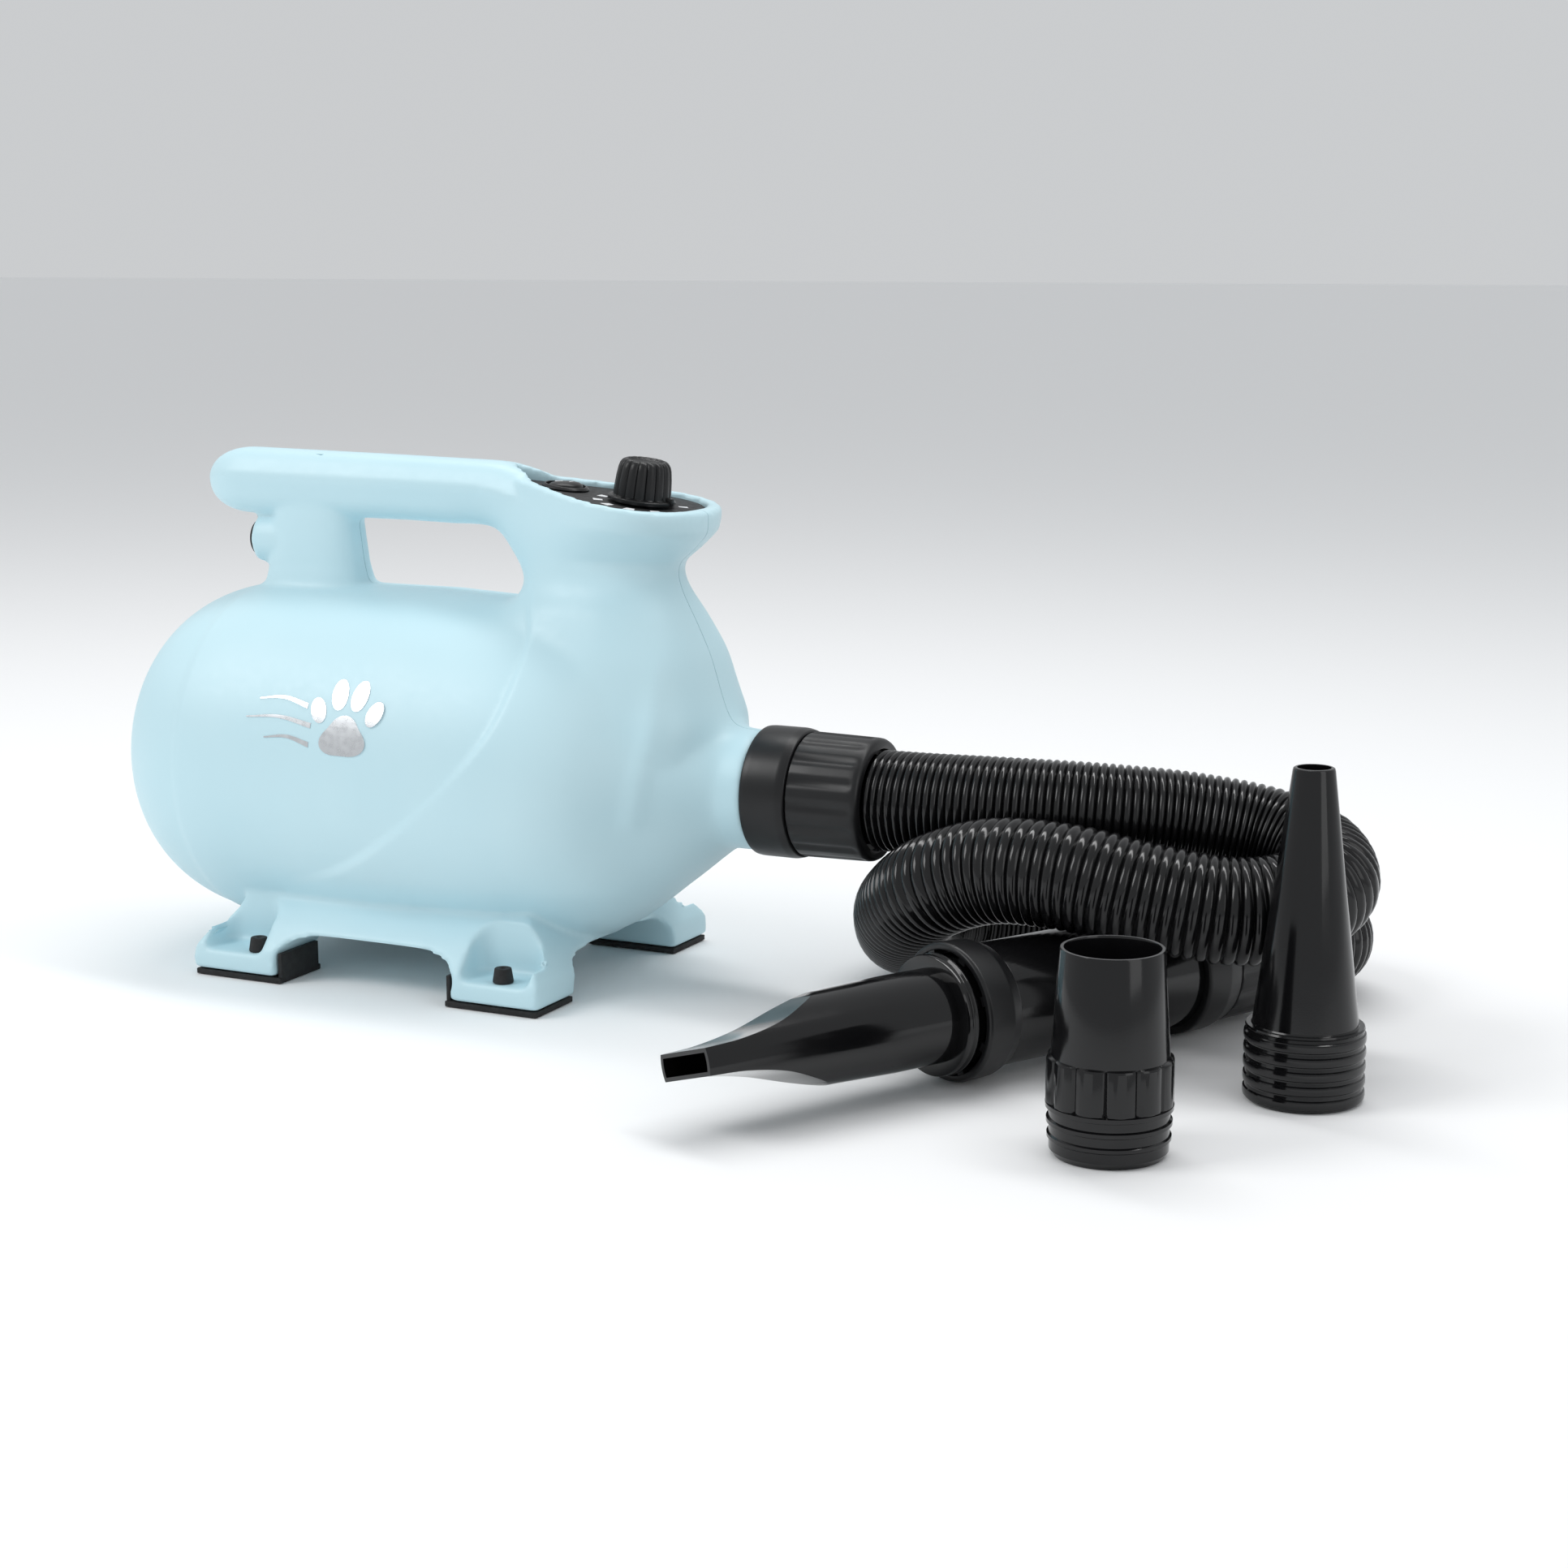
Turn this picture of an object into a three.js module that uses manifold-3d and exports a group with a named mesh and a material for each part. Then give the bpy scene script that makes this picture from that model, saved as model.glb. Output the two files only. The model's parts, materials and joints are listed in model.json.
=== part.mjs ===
// Pet dryer: a two-piece moulded housing on four rubber feet, with a through-flow blower inside,
// a control panel in the head of the handle, a corrugated hose with a wand, and three nozzles.
// Millimetres, +Z up. +X is the way the air leaves, and the near side of the housing faces -Y.
import * as THREE from 'three';
import { mergeVertices } from 'three/addons/utils/BufferGeometryUtils.js';
import { LoftGeometry } from 'three/addons/geometries/LoftGeometry.js';
import Module from 'manifold-3d';

// ---- Housing ----
const BODY_RADIUS = 88.5;
const BELLY_CLEARANCE = 13.5;
const REAR_X = -172;
const DOME_X = -80;
const DOME_POWER = 2.6;
const SHOULDER_X = 0;
const NECK_X = 164;
const NECK_END_X = 178;
const NECK_RADIUS = 29.3;
const WALL = 2.6;
const GAP = 0.3;

// ---- Handle, post and head ----
const HAND_GAP = 33.5;
const HANDLE_THICKNESS = 34;
const HANDLE_WIDTH = 33;
const HANDLE_FALL = 3;
const HANDLE_REAR_X = -143;
const POST_REAR_X = -101;
const POST_FRONT_X = -53;
const CORD_BOSS_RADIUS = 13;
const CORD_BOSS_LENGTH = 11;
const HEAD_FRONT_X = 147.4;
const HEAD_HALF_WIDTH = 42.5;
const PANEL_REAR_X = 40.8;
const PANEL_FRONT_X = 139.5;
const PANEL_HALF_WIDTH = 38;
const PANEL_SLOPE = 0.1413;
const PANEL_THICKNESS = 2.5;
const PANEL_RECESS = 5.3;
const PANEL_LEDGE = 4;

// ---- Base and feet ----
const BASE_HALF_LENGTH = 100;
const BASE_HALF_WIDTH = 88;
const FOOT_LENGTH = 49;
const FOOT_WIDTH = 37;
const FOOT_WALL_HEIGHT = 15;
const SIDE_ARCH = 24.5;
const END_ARCH = 22;
const PAD_THICKNESS = 2.7;
const WELL_FLOOR = 13.5;
const WELL_HALF_WIDTH = 13;
const WELL_DEPTH = 24;
const FOOT_STEM_RADIUS = 3;
const FOOT_PLUG_RADIUS = 5;

// ---- Controls ----
const SWITCH_X = 69;
const BEZEL_RADIUS = 11.6;
const BUTTON_RADIUS = 8.9;
const ROCKER_TILT = 7;
const KNOB_X = 111;
const KNOB_RADIUS = 14;
const KNOB_SKIRT_RADIUS = 16.5;
const KNOB_HEIGHT = 20.5;
const KNOB_FLUTES = 16;
const DIMMER_SHAFT_RADIUS = 3;

// ---- Blower ----
const FAN_REAR_X = -96;
const FAN_LENGTH = 60;
const FAN_RADIUS = 62;
const MOTOR_RADIUS = 46;
const MOTOR_LENGTH = 70;
const SHAFT_RADIUS = 4;
const BEARING_RADIUS = 13;
const INTAKE_RADIUS = 43.7;

// ---- Hose, wand and nozzles ----
const HOSE_RADIUS = 24;
const COLLAR_RADIUS = 31.5;
const COLLAR_LENGTH = 23;
const CUFF_RADIUS = 30;
const CUFF_LENGTH = 36.7;
const CUFF_FLUTES = 16;
const WAND_ANGLE = 62;
const WAND_RADIUS = 27.5;
const WAND_TUBE_LENGTH = 109.7;
const WAND_COLLAR_LENGTH = 20;
const SPIGOT_RADIUS = 25;
const SPIGOT_WALL = 3.6;
const TWIST_GAP = 0.6;
const WIDE_NOZZLE_HEIGHT = 85;
const CONE_NOZZLE_HEIGHT = 144;
const NOZZLE_WALL = 1.8;
const FLAT_NOZZLE_ROLL = -18;
const FLAT_NOZZLE_TIP = -137;
const FLAT_NOZZLE_SHOULDER = -67;
const FLAT_MOUTH_HALF = 5.75;

// ---- Facets: sides of a turned piece, and of the body ----
const ROUND = 20;
const BODY_SIDES = 28;

// ---- Screws ----
const SCREW_RADIUS = 1.9;
const SCREW_HEAD_RADIUS = 3.7;
const SCREW_SEAT = 9;
const SCREW_REACH = 8;

// Heights that follow from the sizes above.
const AXIS_Z = BODY_RADIUS + BELLY_CLEARANCE;
const BODY_TOP = AXIS_Z + BODY_RADIUS;
const HANDLE_UNDER = BODY_TOP + HAND_GAP;
const HANDLE_TOP = HANDLE_UNDER + HANDLE_THICKNESS;
const HANDLE_HALF = HANDLE_WIDTH / 2;
const RIM_Z = HANDLE_TOP - 8.5;
const SHELL_FLOOR = PAD_THICKNESS + GAP;
const AIR_RADIUS = SPIGOT_RADIUS - SPIGOT_WALL;

const paint = {
  housing: new THREE.MeshStandardMaterial({ color: '#bfe0ec', roughness: 0.5, metalness: 0 }),
  panel: new THREE.MeshStandardMaterial({ color: '#1b1c1e', roughness: 0.75, metalness: 0 }),
  black: new THREE.MeshStandardMaterial({ color: '#17181a', roughness: 0.4, metalness: 0 }),
  gloss: new THREE.MeshStandardMaterial({ color: '#0c0c0d', roughness: 0.15, metalness: 0 }),
  rubber: new THREE.MeshStandardMaterial({ color: '#121213', roughness: 0.9, metalness: 0 }),
  steel: new THREE.MeshStandardMaterial({ color: '#b9bcc0', roughness: 0.35, metalness: 1 }),
  alloy: new THREE.MeshStandardMaterial({ color: '#c7c9cb', roughness: 0.45, metalness: 1 }),
  copper: new THREE.MeshStandardMaterial({ color: '#b8703c', roughness: 0.4, metalness: 1 }),
  brass: new THREE.MeshStandardMaterial({ color: '#c8a14e', roughness: 0.35, metalness: 1 }),
  foam: new THREE.MeshStandardMaterial({ color: '#3a3b3e', roughness: 1, metalness: 0 }),
  board: new THREE.MeshStandardMaterial({ color: '#1f5b35', roughness: 0.6, metalness: 0 }),
};

// ---- Solids ----
const wasm = await Module();
wasm.setup();

// A closed geometry as a solid, whichever way its faces were wound.
function solid(geometry) {
  const bare = new THREE.BufferGeometry();
  bare.setAttribute('position', geometry.getAttribute('position'));
  if (geometry.index) bare.setIndex(geometry.index);
  const merged = mergeVertices(bare, 1e-4);
  const index = merged.index.array;
  const position = merged.getAttribute('position').array;
  const triVerts = [];
  for (let i = 0; i < index.length; i += 3) {
    const [a, b, c] = [index[i], index[i + 1], index[i + 2]];
    if (a !== b && b !== c && c !== a) triVerts.push(a, b, c);
  }
  const vertex = (i) => new THREE.Vector3().fromArray(position, 3 * i);
  let volume = 0;
  for (let i = 0; i < triVerts.length; i += 3) {
    const [p, q, r] = [vertex(triVerts[i]), vertex(triVerts[i + 1]), vertex(triVerts[i + 2])];
    volume += p.dot(q.cross(r));
  }
  if (volume < 0) triVerts.reverse();
  return new wasm.Manifold(
    new wasm.Mesh({
      numProp: 3,
      vertProperties: new Float32Array(position),
      triVerts: new Uint32Array(triVerts),
    }),
  );
}

function geometryOf(body) {
  const made = body.getMesh();
  const geometry = new THREE.BufferGeometry();
  const position = new Float32Array(made.numVert * 3);
  for (let i = 0; i < made.numVert; i++) {
    for (let k = 0; k < 3; k++) position[3 * i + k] = made.vertProperties[i * made.numProp + k];
  }
  geometry.setAttribute('position', new THREE.BufferAttribute(position, 3));
  geometry.setIndex(new THREE.BufferAttribute(new Uint32Array(made.triVerts), 1));
  geometry.computeVertexNormals();
  return geometry;
}

function piece(name, body, material, group) {
  const mesh = new THREE.Mesh(geometryOf(body), material);
  mesh.name = name;
  group.add(mesh);
  return mesh;
}

const join = (bodies) => bodies.reduce((all, body) => all.add(body));

// Turned about the X axis at height z, from points [x, radius].
function turned(points, z = 0, sides = ROUND) {
  const profile = points.map(([x, radius]) => new THREE.Vector2(radius, x));
  const geometry = new THREE.LatheGeometry(profile, sides);
  geometry.rotateZ(-Math.PI / 2);
  geometry.translate(0, 0, z);
  return solid(geometry);
}

// Turned about the Z axis, from points [z, radius].
function upright(points) {
  const profile = points.map(([z, radius]) => new THREE.Vector2(radius, z));
  const geometry = new THREE.LatheGeometry(profile, ROUND);
  geometry.rotateX(Math.PI / 2);
  return solid(geometry);
}

// A washer or tube about X, or a solid rod when its bore is 0.
function ring(x0, x1, outer, bore, z = 0) {
  if (!bore) return turned([[x0, 0], [x0, outer], [x1, outer], [x1, 0]], z);
  return turned([[x0, bore], [x0, outer], [x1, outer], [x1, bore], [x0, bore]], z);
}

// A rod about Z.
function post(x, y, z0, z1, radius, segments = 16) {
  const geometry = new THREE.CylinderGeometry(radius, radius, z1 - z0, segments);
  geometry.rotateX(Math.PI / 2);
  geometry.translate(x, y, (z0 + z1) / 2);
  return solid(geometry);
}

// A rod about Y.
function crossRod(x, z, y0, y1, radius, segments = 12) {
  const geometry = new THREE.CylinderGeometry(radius, radius, y1 - y0, segments);
  geometry.translate(x, (y0 + y1) / 2, z);
  return solid(geometry);
}

function block(x0, x1, y0, y1, z0, z1) {
  const geometry = new THREE.BoxGeometry(x1 - x0, y1 - y0, z1 - z0);
  geometry.translate((x0 + x1) / 2, (y0 + y1) / 2, (z0 + z1) / 2);
  return solid(geometry);
}

// A shape drawn in X and Y, raised from z0 to z1.
function raised(shape, z0, z1, curveSegments = 8) {
  const geometry = new THREE.ExtrudeGeometry(shape, {
    depth: z1 - z0,
    bevelEnabled: false,
    curveSegments,
  });
  geometry.translate(0, 0, z0);
  return geometry;
}

// Rounded ring of points: 2 is an ellipse, higher powers are squarer.
function rounded(power, count) {
  return Array.from({ length: count }, (_, i) => {
    const angle = (i / count) * 2 * Math.PI;
    const [c, s] = [Math.cos(angle), Math.sin(angle)];
    const soft = (t) => Math.sign(t) * Math.abs(t) ** (2 / power);
    return [soft(c), soft(s)];
  });
}

// Drop outline with its point at rearX: a pull of 0 is a plain ellipse.
function drop(rearX, frontX, halfWidth, pull, count) {
  const centre = (rearX + frontX) / 2;
  const half = (frontX - rearX) / 2;
  const peak = pull > 0 ? (Math.sqrt(1 + 8 * pull * pull) - 1) / (4 * pull) : 0;
  const widest = Math.sqrt(1 - peak * peak) * (1 + pull * peak);
  return Array.from({ length: count }, (_, i) => {
    const angle = (i / count) * 2 * Math.PI;
    const [c, s] = [Math.cos(angle), Math.sin(angle)];
    return [centre + half * c, (halfWidth * s * (1 + pull * c)) / widest];
  });
}

const loft = (sections) => solid(new LoftGeometry(sections, { capStart: true, capEnd: true }));
const outline = (points) => new THREE.Shape(points.map(([x, y]) => new THREE.Vector2(x, y)));

// ---- Housing forms. Each is made at an inset: 0 for the outside, the wall for the hollow. ----

// Egg-shaped body: a full dome behind, a long shoulder that draws in to the neck in front.
function bodyForm(inset) {
  const rear = REAR_X + inset;
  const points = [[rear, 0]];
  const steps = inset ? 4 : 6;
  for (let i = 1; i <= steps; i++) {
    const turn = (i / steps) * (Math.PI / 2);
    const back = Math.cos(turn) ** (2 / DOME_POWER);
    const radius = (BODY_RADIUS - inset) * Math.sin(turn) ** (2 / DOME_POWER);
    points.push([DOME_X - back * (DOME_X - rear), radius]);
  }
  const run = NECK_X - SHOULDER_X;
  const fall = BODY_RADIUS - NECK_RADIUS;
  const fractions = [[0, 0], [0.43, 0.076], [0.61, 0.211], [0.823, 0.633], [0.976, 0.965], [1, 1]];
  const knots = fractions.map(([along, down]) => {
    return new THREE.Vector2(SHOULDER_X + along * run, BODY_RADIUS - inset - down * fall);
  });
  new THREE.SplineCurve(knots).getPoints(6).forEach((p) => points.push([p.x, p.y]));
  const end = NECK_END_X + (inset ? 1 : 0);
  points.push([end, NECK_RADIUS - inset], [end, 0]);
  return turned(points, AXIS_Z, inset ? ROUND : BODY_SIDES);
}

// Grip: level underside, gently falling top, and a rounded free end behind the post.
function handleForm(inset) {
  const nose = 26;
  const ringShape = rounded(2.5, inset ? 10 : 12);
  const half = HANDLE_THICKNESS / 2 - inset;
  const middle = HANDLE_UNDER + HANDLE_THICKNESS / 2;
  const section = (x, halfWidth, top, bottom) => {
    return ringShape.map(([c, s]) => {
      return new THREE.Vector3(x, halfWidth * c, (top + bottom) / 2 + (s * (top - bottom)) / 2);
    });
  };
  const sections = [];
  for (const angle of inset ? [25, 58, 90] : [14, 36, 60, 90]) {
    const turn = THREE.MathUtils.degToRad(angle);
    const x = HANDLE_REAR_X + inset + (nose - inset) * (1 - Math.cos(turn));
    const size = Math.sin(turn);
    sections.push(section(x, (HANDLE_HALF - inset) * size, middle + half * size, middle - half * size));
  }
  const fall = (share) => HANDLE_TOP - inset - share * HANDLE_FALL;
  sections.push(section(-20, HANDLE_HALF - inset, fall(0.5), HANDLE_UNDER + inset));
  sections.push(section(PANEL_REAR_X, HANDLE_HALF - inset, fall(1), HANDLE_UNDER + inset - 2));
  sections.push(section(PANEL_REAR_X + 14, HANDLE_HALF - inset, fall(2.2), HANDLE_UNDER - 4));
  sections.push(section(PANEL_REAR_X + 32, HANDLE_HALF - inset, fall(3.4), HANDLE_UNDER - 6));
  return loft(sections);
}

// Rear post between the body and the grip, flared where it meets the body.
function postForm(inset) {
  const ringShape = rounded(2.6, inset ? 10 : 12);
  const rows = [[-22, 11, 9, 24], [-4, 8.5, 7, 20], [0, 6, 5.5, 18], [10, 4, 3, 15.5],
    [33.5, 0, 0, 14], [44, 0, 0, 13]];
  return loft(
    rows.map(([up, behind, ahead, halfWidth]) => {
      const rear = POST_REAR_X - behind + inset;
      const front = POST_FRONT_X + ahead - inset;
      const [centre, half] = [(rear + front) / 2, (front - rear) / 2];
      return ringShape.map(([c, s]) => {
        return new THREE.Vector3(centre + half * c, (halfWidth - inset) * s, BODY_TOP + up);
      });
    }),
  );
}

// Column and head: rises out of the shoulder, draws in, then opens into a drop-shaped dish.
// Each row is [height of its front above the body, rear x, front x, half width, pull, slope].
function headForm(inset) {
  const wide = HEAD_HALF_WIDTH;
  const front = HEAD_FRONT_X;
  const rows = [
    [-90, 70, front, 26, 0, 0],
    [-55, 60, front + 12, 34, 0, 0],
    [-44.5, 54, front + 7, 39, 0, 0],
    [-25, 48, front + 1, 42, 0, 0],
    [-6, 38, front - 8, 38, 0, 0],
    [0, 47, front - 11.5, 34.5, 0, 0],
    [6.5, 51, front - 14.5, 31, 0, 0],
    [13.5, 46.5, front - 17, 28.5, 0.05, 0],
    [19.3, 39, front - 15.5, 29.5, 0.15, 0.03],
    [26.2, 31, front - 7.3, wide - 8, 0.35, 0.06],
    [33.6, 24, front - 0.5, wide - 2, 0.6, 0.1],
    [39.4, 25, front, wide, 0.75, 0.13],
    [42.9, 26, front - 1.7, wide - 1, 0.75, PANEL_SLOPE],
  ];
  return loft(
    rows.map(([up, rearX, frontX, halfWidth, pull, slope], row) => {
      const sunk = row === rows.length - 1 && inset ? PANEL_RECESS + inset : 0;
      const ends = [rearX + inset, frontX - inset];
      return drop(...ends, halfWidth - inset, pull, inset ? 14 : 20).map(([x, y]) => {
        return new THREE.Vector3(x, y, BODY_TOP + up + slope * (frontX - x) - sunk);
      });
    }).filter((_, row) => !inset || row !== rows.length - 2),
  );
}

// Base: four feet with an arch between each pair, flared up into the body.
function baseForm(inset) {
  const arch = (shape, half, height, rise, z0) => {
    shape.lineTo(-half, z0);
    shape.lineTo(-half, rise);
    shape.bezierCurveTo(-half, height * 0.88, -half * 0.7, height, -half * 0.3, height);
    shape.lineTo(half * 0.3, height);
    shape.bezierCurveTo(half * 0.7, height, half, height * 0.88, half, rise);
    shape.lineTo(half, z0);
  };
  const profile = (half, archHalf, archHeight, rise, shoulder, lift) => {
    const shape = new THREE.Shape();
    const z0 = SHELL_FLOOR + inset;
    const top = AXIS_Z * 0.55;
    shape.moveTo(-half + inset, z0);
    arch(shape, archHalf + inset, archHeight + inset, rise, z0);
    shape.lineTo(half - inset, z0);
    shape.lineTo(half - inset - 1, FOOT_WALL_HEIGHT - inset);
    shape.bezierCurveTo(half - inset - 6, lift * 0.42, shoulder + 10 - inset, lift * 0.7,
      shoulder - inset, lift);
    shape.lineTo(shoulder - 8 - inset, top);
    shape.lineTo(-shoulder + 8 + inset, top);
    shape.lineTo(-shoulder + inset, lift);
    shape.bezierCurveTo(-shoulder - 10 + inset, lift * 0.7, -half + inset + 6, lift * 0.42,
      -half + inset + 1, FOOT_WALL_HEIGHT - inset);
    return shape;
  };
  const L = BASE_HALF_LENGTH;
  const W = BASE_HALF_WIDTH;
  const sideView = profile(L, L - FOOT_LENGTH, SIDE_ARCH, FOOT_WALL_HEIGHT, L - 22.5, 44);
  const endView = profile(W, W - FOOT_WIDTH, END_ARCH, SHELL_FLOOR + inset + 1, W - 36, 47);
  const side = raised(sideView, -W, W, 3);
  side.rotateX(Math.PI / 2);
  const end = raised(endView, -L, L, 3);
  end.rotateX(Math.PI / 2);
  end.rotateZ(Math.PI / 2);
  return solid(side).intersect(solid(end));
}

// Wells in the outer flank of each foot, over the rubber plug. The middle of each is named once.
const WELLS = [[-65, -1], [77, -1], [-65, 1], [77, 1]].map(([x, side]) => {
  return { x, side, y: side * (BASE_HALF_WIDTH - 8) };
});

function wellForm({ x, side }, grow) {
  const half = WELL_HALF_WIDTH + grow;
  const back = BASE_HALF_WIDTH - WELL_DEPTH - grow;
  const shape = new THREE.Shape();
  shape.moveTo(x - half, side * (BASE_HALF_WIDTH + 2));
  shape.lineTo(x - half, side * (back + half * 0.7));
  shape.quadraticCurveTo(x - half, side * back, x, side * back);
  shape.quadraticCurveTo(x + half, side * back, x + half, side * (back + half * 0.7));
  shape.lineTo(x + half, side * (BASE_HALF_WIDTH + 2));
  return solid(raised(shape, WELL_FLOOR - grow, AXIS_Z * 0.55 + 2, 3));
}

// Placement of the control panel: x runs along the sloping rim, z is square to it.
const panelFrame = new THREE.Group();
const panelAngle = Math.atan(PANEL_SLOPE);
panelFrame.position.set(PANEL_REAR_X, 0, RIM_Z);
panelFrame.rotation.y = panelAngle;
panelFrame.updateMatrix();
const alongPanel = (x) => (x - PANEL_REAR_X) / Math.cos(panelAngle);
const panelOutline = (inset) => {
  const ends = [inset, alongPanel(PANEL_FRONT_X) - inset];
  return outline(drop(...ends, PANEL_HALF_WIDTH - inset, 0.75, 24));
};
const onPanel = (geometry) => solid(geometry.applyMatrix4(panelFrame.matrix));

// Two screw bosses meet at the seam: a blind pilot in the near one, a sunk head in the far one.
const SCREWS = {
  handle: [HANDLE_REAR_X + 21, HANDLE_UNDER + HANDLE_THICKNESS / 2],
  post: [(POST_REAR_X + POST_FRONT_X) / 2, BODY_TOP + 12],
  head: [100, BODY_TOP + 16],
  column: [134, AXIS_Z + 56],
  front_lower: [118, AXIS_Z - 52],
  rear_upper: [-128, AXIS_Z + BODY_RADIUS - 30.5],
  rear_lower: [-104, AXIS_Z - BODY_RADIUS + 16.5],
  middle_lower: [60, AXIS_Z - BODY_RADIUS + 16.5],
};
const PILOT_RADIUS = SCREW_RADIUS + GAP;
const SINK_RADIUS = SCREW_HEAD_RADIUS + GAP;
const BOSS_WALL = 2.2;
const REACH_Y = BASE_HALF_WIDTH + 20;

function housing() {
  const socketRear = REAR_X + 6;
  const socketFront = REAR_X + 27;
  const socket = ring(socketRear, socketFront, INTAKE_RADIUS + GAP + WALL, INTAKE_RADIUS + GAP, AXIS_Z);
  const stop = ring(socketFront - WALL, socketFront, INTAKE_RADIUS + GAP + WALL, INTAKE_RADIUS - 6,
    AXIS_Z);
  const grip = [];
  for (const [x0, x1, radius] of MOUNTS) {
    grip.push(ring((x0 + x1) / 2 - 1.5, (x0 + x1) / 2 + 1.5, BODY_RADIUS - WALL / 2,
      radius + MOUNT_RUBBER + GAP, AXIS_Z));
  }
  const passages = [];
  const passageX = (MOUNTS[1][0] + MOUNTS[1][1]) / 2;
  for (let i = 0; i < 6; i++) {
    const hole = new THREE.CylinderGeometry(9, 9, 12, 8);
    const angle = (i + 0.5) * (Math.PI / 3);
    const reach = (MOTOR_RADIUS + MOUNT_RUBBER + BODY_RADIUS - WALL) / 2;
    hole.rotateZ(Math.PI / 2);
    hole.translate(passageX, reach * Math.sin(angle), AXIS_Z + reach * Math.cos(angle));
    passages.push(solid(hole));
  }
  const boss = turned(
    [[POST_REAR_X - CORD_BOSS_LENGTH, 0], [POST_REAR_X - CORD_BOSS_LENGTH, CORD_BOSS_RADIUS - 1],
      [POST_REAR_X - CORD_BOSS_LENGTH + 1, CORD_BOSS_RADIUS], [POST_REAR_X + 8, CORD_BOSS_RADIUS],
      [POST_REAR_X + 8, 0]],
    CORD_BOSS_Z,
  );
  const wells = (grow) => join(WELLS.map((well) => wellForm(well, grow)));
  const outer = join([bodyForm(0), handleForm(0), postForm(0), headForm(0),
    baseForm(0).subtract(wells(0)), boss]);
  const hollow = join([bodyForm(WALL), handleForm(WALL), postForm(WALL), headForm(WALL),
    baseForm(WALL).subtract(wells(WALL))])
    .subtract(onPanel(raised(panelOutline(-WALL), -PANEL_RECESS - WALL, 40)));
  const bosses = { near: [], far: [] };
  const bores = { near: [], far: [] };
  for (const [x, z] of Object.values(SCREWS)) {
    bosses.near.push(crossRod(x, z, -REACH_Y, 0, PILOT_RADIUS + BOSS_WALL, 8));
    bosses.far.push(crossRod(x, z, 0, REACH_Y, SINK_RADIUS + BOSS_WALL, 8));
    bores.near.push(crossRod(x, z, -SCREW_REACH - 1, 1, PILOT_RADIUS, 8));
    bores.far.push(crossRod(x, z, -1, SCREW_SEAT + 1, PILOT_RADIUS, 8));
    bores.far.push(crossRod(x, z, SCREW_SEAT, REACH_Y + 1, SINK_RADIUS, 8));
  }
  const cuts = join([
    ring(REAR_X - 5, socketFront - WALL, INTAKE_RADIUS + GAP, 0, AXIS_Z),
    onPanel(raised(panelOutline(0), -PANEL_RECESS, 40)),
    onPanel(raised(panelOutline(PANEL_LEDGE), -PANEL_RECESS - WALL - 6, 0)),
    ring(POST_REAR_X - CORD_BOSS_LENGTH - 1, POST_REAR_X + 12, GLAND_RADIUS + GAP, 0, CORD_BOSS_Z),
    ...WELLS.map(({ x, y }) => post(x, y, 0, WELL_FLOOR + 1, FOOT_STEM_RADIUS + GAP, 12)),
  ]);
  const inside = join([socket, stop, join(grip).subtract(join(passages))]);
  const half = { near: block(-400, 400, -400, -GAP / 2, -1, 400), far: block(-400, 400, GAP / 2, 400,
    -1, 400) };
  const shells = {};
  for (const side of ['near', 'far']) {
    const skin = outer.subtract(hollow).add(inside.add(join(bosses[side])).intersect(outer));
    shells[side] = skin.subtract(cuts).subtract(join(bores[side])).intersect(half[side]);
  }
  return shells;
}

// ---- The pieces inside need these before the housing is made round them ----
const MOUNT_RUBBER = 7.4;
const MOUNTS = [
  [FAN_REAR_X + 12, FAN_REAR_X + 27, FAN_RADIUS],
  [FAN_REAR_X + FAN_LENGTH + MOTOR_LENGTH - 20, FAN_REAR_X + FAN_LENGTH + MOTOR_LENGTH - 7, MOTOR_RADIUS],
];
const GLAND_RADIUS = 7.5;
const CORD_BOSS_Z = BODY_TOP + HAND_GAP / 2 + 4;

const dryer = new THREE.Group();
const machine = new THREE.Group();
dryer.add(machine);

const shells = housing();
piece('near_shell', shells.near, paint.housing, machine);
piece('far_shell', shells.far, paint.housing, machine);

// Housing screws, driven from the far side.
for (const [where, [x, z]] of Object.entries(SCREWS)) {
  const shank = crossRod(x, z, -SCREW_REACH, SCREW_SEAT + 1, SCREW_RADIUS, 6);
  const head = crossRod(x, z, SCREW_SEAT + GAP, SCREW_SEAT + 2.8, SCREW_HEAD_RADIUS, 8);
  piece(`screw_${where}`, shank.add(head), paint.steel, machine);
}

// Cord entry: a bushing in the boss behind the post, bored for the supply cord.
piece(
  'cord_gland',
  turned(
    [[POST_REAR_X - CORD_BOSS_LENGTH - 5, 3.6], [POST_REAR_X - CORD_BOSS_LENGTH - 5, 5.6],
      [POST_REAR_X - CORD_BOSS_LENGTH - GAP - 2, GLAND_RADIUS + 2],
      [POST_REAR_X - CORD_BOSS_LENGTH - GAP, GLAND_RADIUS + 2],
      [POST_REAR_X - CORD_BOSS_LENGTH - GAP, GLAND_RADIUS], [POST_REAR_X + 6, GLAND_RADIUS],
      [POST_REAR_X + 6, 3.6], [POST_REAR_X - CORD_BOSS_LENGTH - 5, 3.6]],
    CORD_BOSS_Z,
  ),
  paint.rubber,
  machine,
);

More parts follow.
